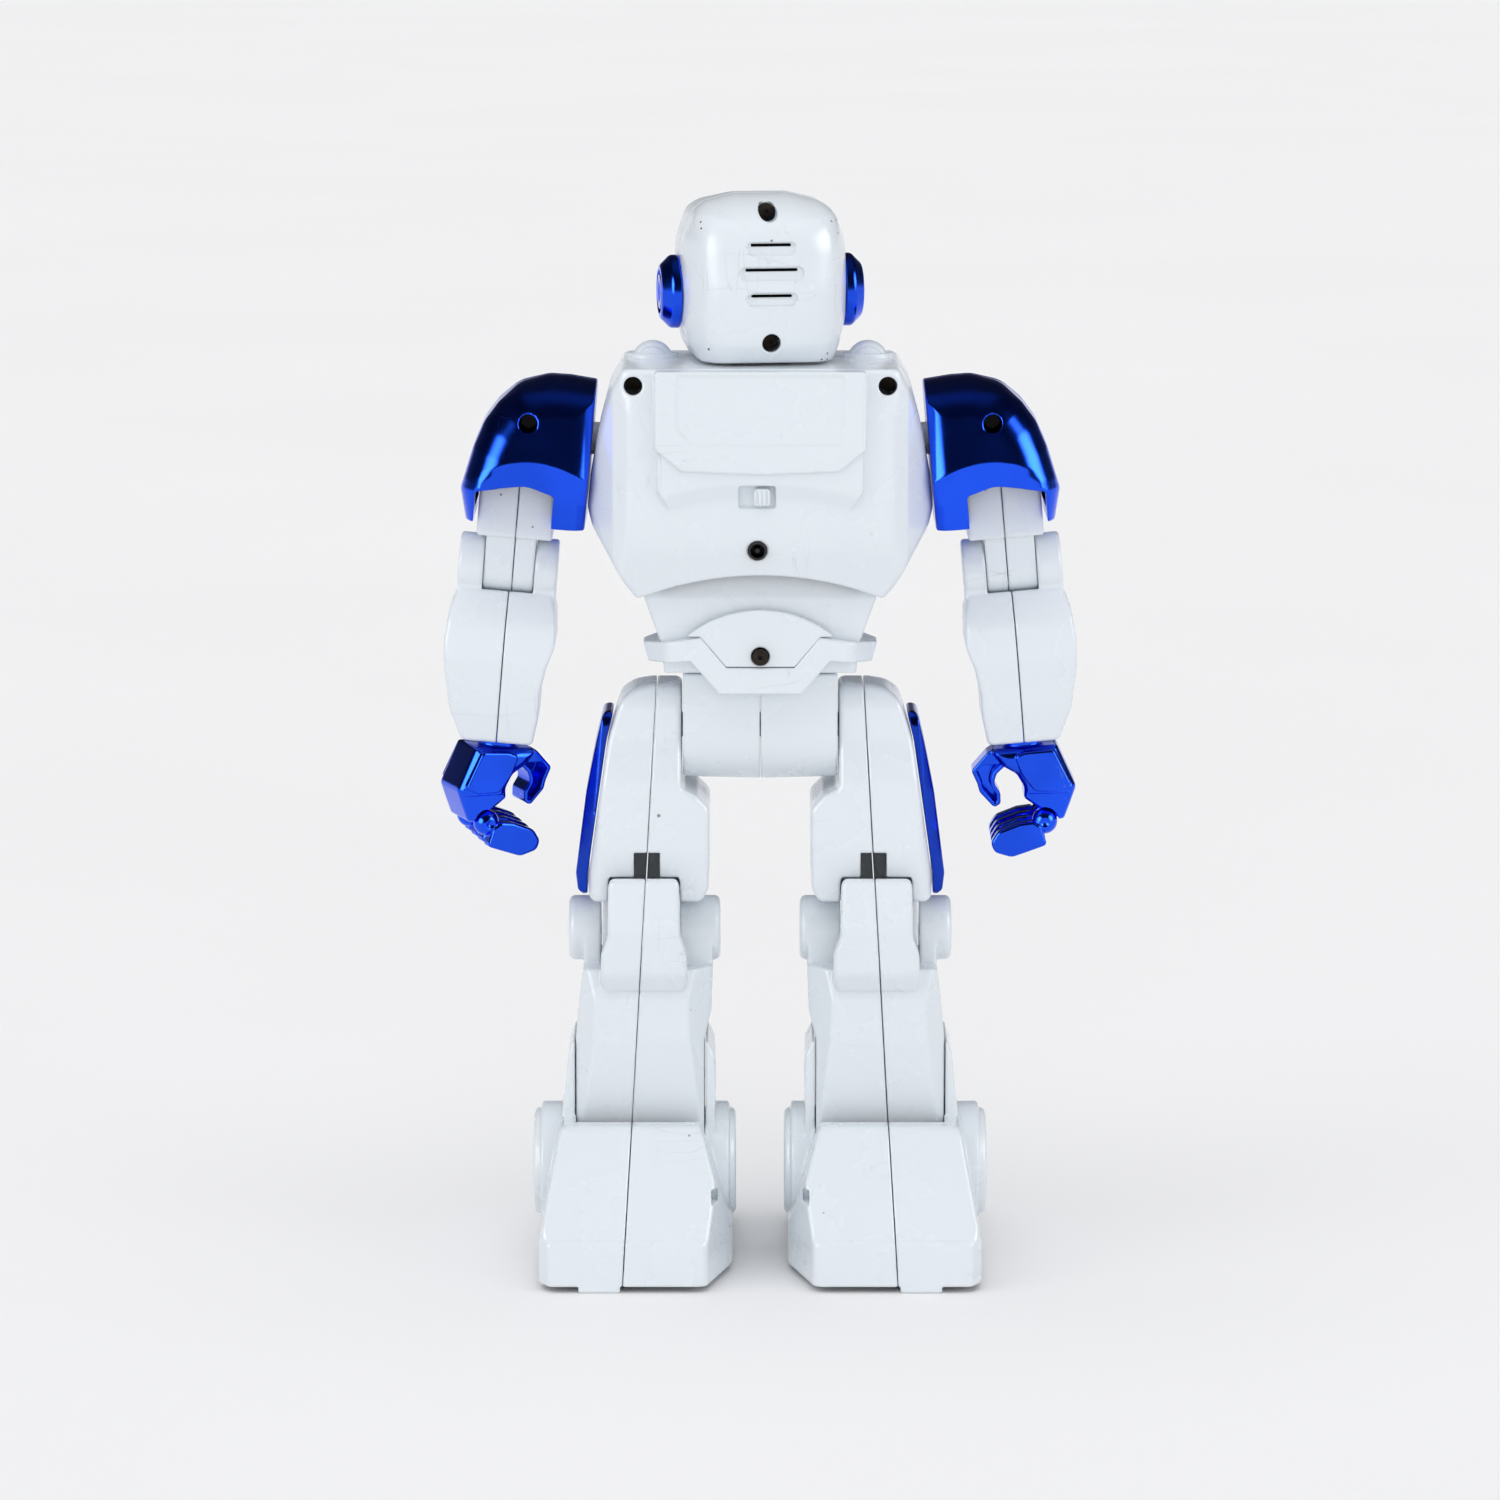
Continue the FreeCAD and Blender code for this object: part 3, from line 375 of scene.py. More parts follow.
def ball(centre, radius):
    return lambda p: np.linalg.norm(p - np.array(centre, float), axis=1) - radius


def rounded_max(radius, values):
    highest = np.maximum.reduce(values)
    if not radius:
        return highest
    outside = sum(np.maximum(value + radius, 0) ** 2 for value in values)
    return np.minimum(highest, -radius) + np.sqrt(outside)


def meet(radius, *fields):
    """What all the fields share, with outer edges rounded to radius."""
    return lambda p: rounded_max(radius, [field(p) for field in fields])


def inverse(field):
    return lambda p: -field(p)


def join(radius, *fields):
    """All the fields together, with inner corners filleted to radius."""
    return inverse(meet(radius, *[inverse(f) for f in fields]))


def cut(radius, body, *tools):
    return meet(radius, body, *[inverse(tool) for tool in tools])


def grow(field, amount):
    return lambda p: field(p) - amount


def engrave(body, mask, depth, radius=0.2):
    """The body with the mask's area sunk by depth."""
    def field(p):
        whole = body(p)
        floor_level = -rounded_max(radius, [mask(p), -whole - depth])
        return rounded_max(radius, [whole, floor_level])
    return field


def span(axis, low, high):
    return meet(0, above(axis, low), below(axis, high))


def solid(low, high, radius=EDGE):
    """A box with rounded edges."""
    faces = [above(axis, low[axis]) for axis in (X, Y, Z)] + [below(axis, high[axis]) for axis in (X, Y, Z)]
    return meet(radius, *faces)


def disc(centre, radius, low, high, edge=EDGE):
    """A cylinder along X from low to high about (y, z)."""
    return meet(edge, rod(X, centre, radius), above(X, low), below(X, high))


def drilled(centre, radius, bottom):
    """A hole from the back that ends at y = bottom."""
    return meet(0, rod(Y, centre, radius), above(Y, bottom))


def lifted(field, height):
    return lambda p: field(p - (0, 0, height))


def mirrored_outline(half):
    """A symmetric outline from its right half, listed from top to bottom."""
    return list(half) + [(-corner[0],) + tuple(corner[1:]) for corner in reversed(half)]


# ---------------------------------------------------------------- meshing

def sample(field, points, chunk=40000):
    return np.concatenate([field(points[i:i + chunk]) for i in range(0, len(points), chunk)])


def lattice(counts):
    return np.stack(np.meshgrid(*[np.arange(n) for n in counts], indexing="ij"), -1).reshape(-1, 3)


def surface(field, low, high, step, skin=None, wall=WALL):
    """Vertices and quads of the field's zero surface, leaving out quads deeper than wall inside skin."""
    step = step * COARSE
    low = np.array(low, float) - 2 * step
    counts = np.ceil((np.array(high, float) + 2 * step - low) / (4 * step)).astype(int)
    blocks = lattice(counts)
    blocks = blocks[np.abs(sample(field, low + (blocks + 0.5) * 4 * step)) < 4.2 * step]
    corners = lattice((5, 5, 5)).reshape(5, 5, 5, 3)
    grid = blocks[:, None, None, None] * 4 + corners
    values = sample(field, low + grid.reshape(-1, 3) * step).reshape(-1, 5, 5, 5)
    shifts = lattice((2, 2, 2))
    octet = np.stack([values[:, i:i + 4, j:j + 4, k:k + 4] for i, j, k in shifts], -1)
    negative = octet < 0
    mixed = negative.any(-1) & ~negative.all(-1)
    cells = grid[:, :4, :4, :4][mixed]
    octet = octet[mixed]
    total = np.zeros((len(cells), 3))
    number = np.zeros(len(cells))
    for a in range(8):
        for b in range(a + 1, 8):
            if np.abs(shifts[a] - shifts[b]).sum() != 1:
                continue
            crossed = (octet[:, a] < 0) != (octet[:, b] < 0)
            gap = octet[:, a] - octet[:, b]
            share = np.where(crossed, octet[:, a] / np.where(crossed, gap, 1), 0)
            total += crossed[:, None] * (shifts[a] + share[:, None] * (shifts[b] - shifts[a]))
            number += crossed
    points = low + (cells + total / number[:, None]) * step

    size = counts * 4 + 1
    keys = (cells[:, 0] * size[1] + cells[:, 1]) * size[2] + cells[:, 2]
    order = np.argsort(keys)
    quads = []
    for axis in (X, Y, Z):
        one, two = [i for i in (X, Y, Z) if i != axis]
        ahead = np.take(values, range(1, 5), axis + 1)
        here = np.take(values, range(0, 4), axis + 1)
        for other in (one, two):
            ahead, here = (np.take(v, range(0, 4), other + 1) for v in (ahead, here))
        flips = (here < 0) != (ahead < 0)
        start = grid[:, :4, :4, :4][flips]
        outward = (here < 0)[flips]
        around = []
        for back_one, back_two in ((0, 0), (1, 0), (1, 1), (0, 1)):
            cell = start.copy()
            cell[:, one] -= back_one
            cell[:, two] -= back_two
            around.append((cell[:, 0] * size[1] + cell[:, 1]) * size[2] + cell[:, 2])
        around = np.stack(around, 1)
        place = np.minimum(np.searchsorted(keys[order], around), len(keys) - 1)
        found = (keys[order][place] == around).all(1)
        quad = order[place]
        turned = outward if axis != Y else ~outward
        quad[~turned] = quad[~turned][:, ::-1]
        quads.append(quad[found])
    quads = np.concatenate(quads)

    for _ in range(3):
        points = settle(field, points, step)
    if skin is not None:
        deep = sample(skin, points[quads].mean(1)) < -wall
        quads = quads[~deep]
        used = np.unique(quads)
        renumber = np.zeros(len(points), int)
        renumber[used] = np.arange(len(used))
        points, quads = points[used], renumber[quads]
    return points, quads


def settle(field, points, step):
    """One Newton step of the points towards the surface."""
    reach = 0.02
    value = sample(field, points)
    slopes = [(sample(field, points + reach * np.eye(3)[axis]) - value) / reach for axis in (X, Y, Z)]
    gradient = np.stack(slopes, 1)
    steepness = np.maximum((gradient ** 2).sum(1), 0.2)
    move = -gradient * (value / steepness)[:, None]
    length = np.linalg.norm(move, axis=1)
    return points + move * np.minimum(1, 0.5 * step / np.maximum(length, 1e-9))[:, None]


# ---------------------------------------------------------------- placing pieces

def on_body(points, side="left"):
    """Body points to the frame, mirrored for the right side."""
    return points * ((1 if side == "left" else -1), 1, 1) + (0, AXIS_Y, 0)


def turned(points, degrees, axis):
    """Points turned about X, Y or Z through the origin."""
    c, s = cos(radians(degrees)), sin(radians(degrees))
    first, second = ((Y, Z), (Z, X), (X, Y))[axis]
    result = points.copy()
    result[:, first] = c * points[:, first] - s * points[:, second]
    result[:, second] = s * points[:, first] + c * points[:, second]
    return result


def on_head(points, side="left"):
    return on_body(turned(points, HEAD_YAW, Z))


def on_arm(points, side):
    swung = turned(points, -ARM_TILT, Y) + (SHOULDER[0], 0, SHOULDER[2])
    return on_body(swung, side)


def arm_local(name):
    """A left-hand joint's place in the arm's own frame."""
    offset = joint_point(name) - SHOULDER
    return turned(offset[None], ARM_TILT, Y)[0]


ELBOW, WRIST = arm_local("elbow_left"), arm_local("wrist_left")
ELBOW_Z, WRIST_Z = ELBOW[2], WRIST[2]
ARM_X = WRIST[0]


def on_hand(points, side):
    return on_arm(turned(points, HAND_TURN[side], Z) + (ARM_X, 0, WRIST_Z), side)


def show(name, data):
    """A new object in the scene."""
    shown = bpy.data.objects.new(name, data)
    bpy.context.scene.collection.objects.link(shown)
    return shown


def piece(node, mesh, place=on_body, material="white_shell", side="left"):
    """A finished piece that stands for one CAD node, rides on its body and takes its material slot."""
    points, quads = mesh
    points = place(points, side) / 1000
    if side == "right":
        quads = quads[:, ::-1]
    data = bpy.data.meshes.new(node + "_skin")
    data.vertices.add(len(points))
    data.vertices.foreach_set("co", points.astype(np.float32).ravel())
    data.loops.add(quads.size)
    data.loops.foreach_set("vertex_index", quads.astype(np.int32).ravel())
    data.polygons.add(len(quads))
    data.polygons.foreach_set("loop_start", np.arange(0, quads.size, 4, dtype=np.int32))
    data.polygons.foreach_set("use_smooth", np.ones(len(quads), bool))
    data.update(calc_edges=True)
    data.validate()
    data.materials.append(MATERIALS[material])
    shown = show(node + "_skin", data)
    cad = frame["nodes"][node]
    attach(shown, cad["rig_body"])
    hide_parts(node)
    return shown


def pair(name, mesh, place=on_body, material="white_shell"):
    """The left and right pieces from one mesh."""
    for side in ("left", "right"):
        piece(name + "_" + side, mesh, place, material, side)


def halves(names, body, axis, at, low, high, step, place=on_body, material="white_shell", skin=None):
    """A shell in two pieces that meet at a seam; names are for the low side and the high side."""
    tools = (below(axis, at - SEAM), above(axis, at + SEAM)) if np.isscalar(at) else at
    for name, tool in zip(names, tools):
        mesh = surface(meet(0.25, body, tool), low, high, step, skin or body)
        if "{" in name:
            for side in ("left", "right"):
                piece(name.format(side), mesh, place, material, side)
        else:
            piece(name, mesh, place, material)


# ---------------------------------------------------------------- head

HEAD_TOP, HEAD_BASE = 265.0, 225.3
HEAD_FRONT = mirrored_outline([(6.6, HEAD_TOP, 10), (16.2, 262.7, 7), (19.9, 253.7, 12), (20.3, 243, 20),
                               (20.0, 235, 12), (18.3, 229, 6), (10.9, 216)])
HEAD_SIDE = [(-6, 270), (-19, 260, 8), (-24, 250, 8), (-24, 236, 8), (-10, 216), (10, 216),
             (21.5, 229.5, 4), (23.5, 243, 20), (20.5, 257, 14), (2, 270)]
HEAD_PLAN = mirrored_outline([(12, -24, 6), (26, -7), (26, 5.5), (11.5, 23.5, 14)])
VENTS = ((253.1, 6.1), (247.2, 7.9), (241.0, 6.2))       # height and half length of each vent
HEAD_HOLES_Z = (261.4, 230.4)
HOLE_R = 2.25
EAR_Z, EAR_R, EAR_IN, EAR_OUT = 241.2, 8.9, 18.4, 24.8
VISOR = mirrored_outline([(14.5, 251, 4), (15.5, 240, 3), (9, 233, 4)])
EYES_X, EYES_Z, EYE_R = 7.0, 243.5, 3.0


def vent(height, half_length, half_height):
    """A stadium-shaped mask on the back of the head."""
    def mask(p):
        along = np.maximum(np.abs(p[:, X]) - half_length + half_height, 0)
        return np.maximum(np.hypot(along, p[:, Z] - height) - half_height, 10 - p[:, Y])
    return mask


def head():
    helmet = meet(5.0, prism("front", HEAD_FRONT), prism("side", HEAD_SIDE), prism("top", HEAD_PLAN))
    helmet = meet(0.6, helmet, above(Z, HEAD_BASE))
    body = helmet
    for height, half_length in VENTS:
        body = engrave(body, vent(height, half_length, 1.6), 1.2, 0.2)
        slot = meet(0, span(X, -0.8 * half_length, 0.8 * half_length), span(Z, height + 0.5, height + 1.2),
                    above(Y, 10))
        body = cut(0, body, slot)
    for height in HEAD_HOLES_Z:
        body = cut(0.25, body, drilled((0, height), HOLE_R, 8))
    body = cut(0.3, body, meet(0, rod(Z, (0, 0), 7.4), below(Z, 240)))
    visor_area = meet(0, prism("front", VISOR), below(Y, -12))
    body = engrave(body, grow(visor_area, 1.0), 0.5, 0.3)
    body = cut(0.3, body, visor_area)
    low, high = (-20.5, -25, HEAD_BASE), (20.5, 24.5, HEAD_TOP)
    halves(("head_front_shell", "head_back_shell"), body, Y, 0, low, high, 0.36, on_head, "white_head",
           helmet)

    eyes = join(0, *[rod(Y, (side * EYES_X, EYES_Z), EYE_R) for side in (-1, 1)])
    glass = meet(0.3, grow(helmet, -0.35), grow(prism("front", VISOR), -0.2), below(Y, -19.5))
    glass = cut(0.2, glass, grow(eyes, 0.15))
    piece("face_visor", surface(glass, low, (20, -19, 252), 0.4), on_head, "black_visor")
    lens = meet(0.5, grow(helmet, -0.1), eyes, below(Y, -18.4))
    lens = engrave(lens, join(0, *[rod(Y, (side * EYES_X, EYES_Z), 1.6) for side in (-1, 1)]), 0.35)
    piece("eye_lights", surface(lens, (-11, -25, 239), (11, -18, 248), 0.3), on_head, "eye_light")

    points, quads = surface(ear(), (EAR_IN - 3, -EAR_R, EAR_Z - EAR_R), (EAR_OUT, EAR_R, EAR_Z + EAR_R), 0.3)
    other = points * (-1, 1, 1)
    both = np.concatenate([points, other]), np.concatenate([quads, quads[:, ::-1] + len(points)])
    piece("ear_discs", both, on_head, "blue_metallised")


def ear():
    """A bevelled disc on a stub, with a dished face, a ring groove and a centre button."""
    def cone(p):
        return (np.hypot(p[:, Y], p[:, Z] - EAR_Z) - EAR_R + 1.0 * (p[:, X] - EAR_OUT + 2.6)) / 1.42
    stub = disc((0, EAR_Z), 5.0, EAR_IN - 3, EAR_IN + 2)
    body = join(0.2, meet(0.4, disc((0, EAR_Z), EAR_R, EAR_IN + 1.6, EAR_OUT), cone), stub)
    rings = meet(0, rod(X, (0, EAR_Z), 5.2), inverse(rod(X, (0, EAR_Z), 4.3)), above(X, EAR_OUT - 0.7))
    dish = ball((EAR_OUT + 7.6, 0, EAR_Z), 8.2)
    return cut(0.15, body, rings, dish)


# ---------------------------------------------------------------- torso

TORSO_TOP, SKIRT_EDGE = 225.0, 168.6
SKIRT_MID, SKIRT_ARCH_R = 174.4, 76.4
BACK_Y = 27.0
TORSO_FRONT = mirrored_outline([(33.0, TORSO_TOP, 3), (36.7, 218.6, 8), (39.2, 209, 20), (41.2, 198, 30),
                                (42.0, 189.5, 6), (40.8, 185.0, 6), (35.8, 177.0, 20), (32.6, 171.8, 8),
                                (29.8, SKIRT_EDGE - 0.5)])
TORSO_SIDE = [(-19, TORSO_TOP, 3), (-27, 214, 12), (-31, 200, 20), (-28, 184, 20), (-21, SKIRT_EDGE - 0.5),
              (21.5, SKIRT_EDGE - 0.5), (BACK_Y, 184, 30), (BACK_Y, 214, 20), (25, TORSO_TOP, 2)]
TORSO_PLAN = mirrored_outline([(28, -31, 8), (44, -9), (44, 10), (35.6, 23, 2), (31, BACK_Y, 4)])
UPPER_PLATE = [(-25.4, 224.4, 1), (25.4, 224.4, 1), (25.4, 205.7, 1), (19, 200.4, 1), (0, 199.6, 60),
               (-19, 200.4, 1), (-25.4, 205.7, 1)]
LABEL_AREA = [(-20, 223.5, 1), (20, 223.5, 1), (20, 210.5, 0.5), (16.6, 206.8, 0.5), (-20, 206.8, 0.5)]
LOWER_PLATE = mirrored_outline([(24.8, 224), (24.8, 195.5, 1), (21.5, 190.0, 1)])
CHEST_LENS = mirrored_outline([(11, 211, 3), (8, 199, 4)])
SHOULDER_HOLES = ((30.6, 220.6), (-30.6, 220.6))
DOME_X, DOME_Y, DOME_Z, DOME_R = 26.3, -3.0, 223.6, 5.1
SWITCH_X, SWITCH_Z = 0.8, 194.0
KNOB_X = SWITCH_X - 1.2
JACK_X, JACK_Z = 0.7, 180.8


def plates():
    """The two raised plates on the back; the lower one ends in a sloped band along an arc."""
    def band(p):
        rise = np.hypot(p[:, X], p[:, Z] - 117.2) - 77.2
        return (p[:, Y] - BACK_Y - 0.5 * rise) / 1.12
    lower = meet(0.3, prism("front", LOWER_PLATE), below(Y, BACK_Y + 1.6), band, above(Y, 20))
    upper = meet(0.35, prism("front", UPPER_PLATE), below(Y, BACK_Y + 2.6), above(Y, 20))
    label = meet(0, prism("front", LABEL_AREA), above(Y, 20))
    return join(0.2, lower, engrave(upper, label, 0.3, 0.1))


def torso():
    trunk = meet(1.4, prism("front", TORSO_FRONT), prism("side", TORSO_SIDE), prism("top", TORSO_PLAN))
    body = join(0.4, trunk, plates())
    for side in (-1, 1):
        dome = join(0.3, ball((side * DOME_X, DOME_Y, DOME_Z), DOME_R),
                    meet(0.4, rod(Z, (side * DOME_X, DOME_Y), 6.3), above(Z, 222), below(Z, TORSO_TOP + 0.8)))
        body = join(0.3, body, dome)
    full = body
    body = cut(0.5, body, rod(Y, (0, SKIRT_MID - SKIRT_ARCH_R), SKIRT_ARCH_R))
    body = cut(0.3, body, rod(Z, (0, 0), 7.5))
    arm_bore = meet(0, rod(X, (0, SHOULDER[2]), 4.6), inverse(span(X, -30, 30)))
    body = cut(0.3, body, arm_bore)
    slot = solid((SWITCH_X - 4.4, BACK_Y - 1.7, SWITCH_Z - 2.8), (SWITCH_X + 4.4, 40, SWITCH_Z + 2.8), 0.6)
    body = cut(0.25, body, slot)
    body = cut(0.25, body, drilled((JACK_X, JACK_Z), 2.35, 10))
    for x, z in SHOULDER_HOLES:
        body = cut(0.25, body, drilled((x, z), HOLE_R, 10))
    lens_area = meet(0, prism("front", CHEST_LENS), below(Y, -20))
    body = engrave(body, grow(lens_area, 1.2), 0.5, 0.3)
    body = cut(0.25, body, lens_area)
    low, high = (-42.4, -31.5, SKIRT_EDGE - 1), (42.4, 30.5, DOME_Z + DOME_R)
    halves(("torso_front_shell", "torso_back_shell"), body, Y, 0, low, high, 0.44,
           skin=cut(0, full, slot))
    lens = meet(0.4, grow(trunk, -0.2), grow(prism("front", CHEST_LENS), -0.2), below(Y, -27.2))
    piece("chest_lens", surface(lens, (-12, -31, 198), (12, -27, 212), 0.35), on_body, "black_visor")
    knob = solid((KNOB_X - 2.0, 19.4, SWITCH_Z - 2.1), (KNOB_X + 2.0, BACK_Y + 1.6, SWITCH_Z + 2.1), 0.9)
    for i in (-1, 0, 1):
        x = KNOB_X + 1.1 * i
        knob = cut(0.1, knob, meet(0, span(X, x - 0.2, x + 0.2), above(Y, BACK_Y + 1.2)))
    low, high = (KNOB_X - 2.1, 19, SWITCH_Z - 2.2), (KNOB_X + 2.1, BACK_Y + 2, SWITCH_Z + 2.2)
    piece("power_switch_knob", surface(knob, low, high, 0.2), on_body, "white_knob")


# ---------------------------------------------------------------- waist and pelvis

WAIST_FLOOR = 149.0
WAIST_FRONT = mirrored_outline([(27.5, 177), (28.2, 168), (23.9, 156), (23.4, WAIST_FLOOR + 0.1)])
WAIST_SIDE = mirrored_outline([(16.5, WAIST_FLOOR), (17, 156), (18, 168), (16.5, 177)])
BELT_FRONT = mirrored_outline([(9.9, 144.9), (17.0, 153.0), (27.2, 152.1), (28.6, 156.7), (14.5, 158.7),
                               (8.3, 151.3)])
BELT_PLAN = mirrored_outline([(20, -21, 5), (24.6, -13, 3), (24.6, 0, 3), (28.6, 6, 3), (28.6, 13, 3),
                              (22, 21, 5)])
WAIST_SCREW_Z = 154.1
PELVIS_HALF, DRUM_R = 18.9, 13.2


def waist():
    hips = meet(1.2, prism("front", WAIST_FRONT), prism("side", WAIST_SIDE))
    body = cut(0.25, hips, drilled((0, WAIST_SCREW_Z), HOLE_R, 5))
    piece("waist_shell", surface(body, (-28.5, -18.2, WAIST_FLOOR), (28.5, 18.2, 177), 0.5, hips))

    belt = meet(0.35, prism("front", BELT_FRONT), prism("top", BELT_PLAN))
    belt = cut(0.2, belt, grow(hips, 0.15))
    piece("waist_belt", surface(belt, (-28.7, -21.1, 144.8), (28.7, 21.1, 158.8), 0.42))

    arch = rod(Y, (0, 165.5 - 27.7), 27.7)
    lower = prism("front", mirrored_outline([(17.9, 170), (17.9, 159.0), (14.7, 158.9), (8.4, 151.5)]))
    cover = meet(0.3, arch, lower, span(Y, 18.3, 20.5))
    cover = cut(0.2, cover, rod(Y, (0, WAIST_SCREW_Z), HOLE_R))
    piece("waist_rear_cover", surface(cover, (-18, 18, 151), (18, 20.6, 166), 0.35))


def pelvis():
    top = WAIST_FLOOR - 0.2
    side = mirrored_outline([(DRUM_R, HIP_Z - DRUM_R, DRUM_R), (DRUM_R, top)])

    def keel(p):
        return HIP_Z - DRUM_R + 0.06 * np.abs(p[:, X]) - p[:, Z]
    body = meet(0.45, prism("side", side), span(X, -PELVIS_HALF, PELVIS_HALF), keel, below(Z, top))
    body = cut(0.2, body, rod(X, (0, HIP_Z), 3.1))
    low, high = (-PELVIS_HALF, -DRUM_R, HIP_Z - DRUM_R), (PELVIS_HALF, DRUM_R, top)
    halves(("pelvis_right_half", "pelvis_left_half"), body, X, 0, low, high, 0.45)


# ---------------------------------------------------------------- arms, in the arm's own frame

ELBOW_R, SHAFT_R = 7.5, 4.0
UPPER_SEAM, FOREARM_SEAM = 16.6, 17.2
PAD_BASE, PAD_IN = -21.0, -0.1
PAD_FRONT = [(-4, 14.2), (6.7, 15.1, 8), (11.8, 15.0, 8), (18.9, 12.5, 8), (23.5, 7.7, 6), (26.6, 2.8, 10),
             (28.6, -3.2, 10), (30.8, -13.3, 3), (24.2, -40), (-4, -40)]
PAD_SIDE = mirrored_outline([(19.4, -40), (20.2, -10, 8), (14.5, 12, 10), (5, 23, 8)])
PAD_ARCH = [(8.0, -30), (8.0, -13.0, 1), (15, -11.0, 8), (27.0, -13.2, 1), (27.0, -30)]
FOREARM_FRONT = [(6.6, -38.5, 1), (5.2, -43.2, 6), (4.8, -51, 4), (6.4, -56, 4), (7.5, -63, 10),
                 (7.4, -69, 8), (8.4, -76.5, 2), (25.6, -76.5, 2), (29.4, -68, 10), (31.4, -58, 10),
                 (31.9, -51, 10), (31.2, -43.2, 6), (29.6, -38.5, 1)]
FOREARM_SIDE = mirrored_outline([(8.5, -76.5, 2), (10.5, -68, 10), (12.5, -55, 12), (11.5, -46, 6),
                                 (6.0, -38.5, 1)])


def shoulder_pads():
    """A smooth domed pad whose lower edge turns in below an arched ridge, with a screw well at the back."""
    dome = meet(9.0, prism("front", PAD_FRONT), prism("side", PAD_SIDE))

    def outside(p):
        ridge = -5.05 - 0.0213 * (p[:, X] - 13.5) ** 2
        turn_in = np.clip(0.4 * (ridge - p[:, Z]), 0, 2.6) * np.clip((26 - p[:, X]) / 5, 0, 1)
        return (dome(p) + turn_in) / 1.15
    body = meet(0.5, outside, above(X, PAD_IN), above(Z, PAD_BASE))
    pad = cut(0.3, body, prism("front", PAD_ARCH), meet(0, rod(X, (0, 0), SHAFT_R + 0.4), below(X, 6)))
    well = drilled((15.6, 4.0), HOLE_R, 9.5)
    pad = cut(0.25, pad, well)
    low, high = (-0.6, -20.5, -21.1), (31, 20.5, 15.4)
    halves(("shoulder_pad_front_{}", "shoulder_pad_back_{}"), pad, Y, 0, low, high, 0.42, on_arm,
           "blue_metallised", cut(0, body, well))


def upper_arm():
    shoulder = solid((1.8, -8.5, -14), (20.4, 8.5, 7.0), 2)
    column = solid((7.6, -8.5, -25.2), (26.2, 8.5, -10), 0.9)
    tongue = join(0, meet(0.4, rod(X, (0, ELBOW_Z), 6.4), span(X, 11.5, 23.7)),
                  solid((11.5, -6.4, ELBOW_Z), (23.7, 6.4, -24)))
    body = join(0.3, shoulder, column, tongue)
    shaft = join(0, disc((0, 0), SHAFT_R, -6.0, 3.0), disc((0, 0), 5.6, -6.4, -4.4))
    inner = join(0.2, meet(0.2, body, below(X, UPPER_SEAM - SEAM)), shaft)
    outer = meet(0.2, body, above(X, UPPER_SEAM + SEAM))
    pair("upper_arm_inner", surface(inner, (-6.5, -8.6, -40), (17, 8.6, 8), 0.45, body), on_arm)
    pair("upper_arm_outer", surface(outer, (16, -8.6, -40), (26.5, 8.6, 8), 0.45, body), on_arm)


def forearm():
    sleeve = meet(1.1, prism("front", FOREARM_FRONT), prism("side", FOREARM_SIDE))
    elbow = rod(X, (0, ELBOW_Z), ELBOW_R)
    cheeks = [join(0, meet(0.8, elbow, span(X, low, high)), solid((low, -6, -42), (high, 6, ELBOW_Z)))
              for low, high in ((5.8, 11.3), (23.9, 30.0))]
    saddle = meet(0, rod(X, (0, ELBOW_Z), ELBOW_R - 0.5), span(X, 11.1, 24.1))
    body = join(0.3, cut(0.3, sleeve, saddle), *cheeks)
    skin = join(0, sleeve, *cheeks)
    body = cut(0.3, body, meet(0, rod(Z, (ARM_X, 0), 5.2), below(Z, -70)))
    low, high = (4.7, -12.7, -76.6), (32, 12.7, -25.6)
    halves(("forearm_inner_{}", "forearm_outer_{}"), body, X, FOREARM_SEAM, low, high, 0.42, on_arm, skin=skin)


# ---------------------------------------------------------------- hands, in the hand's frame under the wrist

PALM = [(-8.6, -0.6, 1), (8.3, -0.6, 1), (12.2, -11.3, 2), (10.3, -15.6, 1), (8.6, -19.2, 1),
        (6.4, -19.4, 1), (2.4, -16.0, 1), (-0.9, -13.2, 1), (-0.6, -10.6, 3), (-2.2, -7.2, 3),
        (-5.4, -5.0, 2)]
THUMB = [(-7.4, -0.7, 1), (-9.0, -1.6, 1), (-13.2, -5.7, 1), (-12.0, -9.0, 2), (-11.6, -11.2, 2),
         (-8.3, -15.4, 1), (-6.6, -14.4, 1), (-6.5, -11.8, 2), (-7.9, -9.2, 2), (-7.0, -7.0, 1),
         (-4.5, -5.0, 1), (-5.0, -0.7, 1)]
HAND_PLATE = [(-2.4, -2.3, 1), (0.2, -1.4, 1), (7.3, -1.4, 1), (11.0, -10.6, 1), (7.3, -11.8, 1),
              (2.0, -11.4, 2), (-1.0, -6.7, 3)]
FINGER = [(3.9, -25.0, 1), (-0.1, -26.1, 2), (-5.1, -27.4, 3), (-9.2, -25.8, 2), (-10.0, -23.4, 2),
          (-8.0, -20.6, 3), (-2.6, -19.0, 2), (0.9, -18.8, 1), (2.6, -20.0, 1)]
KNUCKLE = (3.7, -19.4)
PALM_HALF, HAND_HALF, FINGER_W = 7.5, 8.5, 4.25


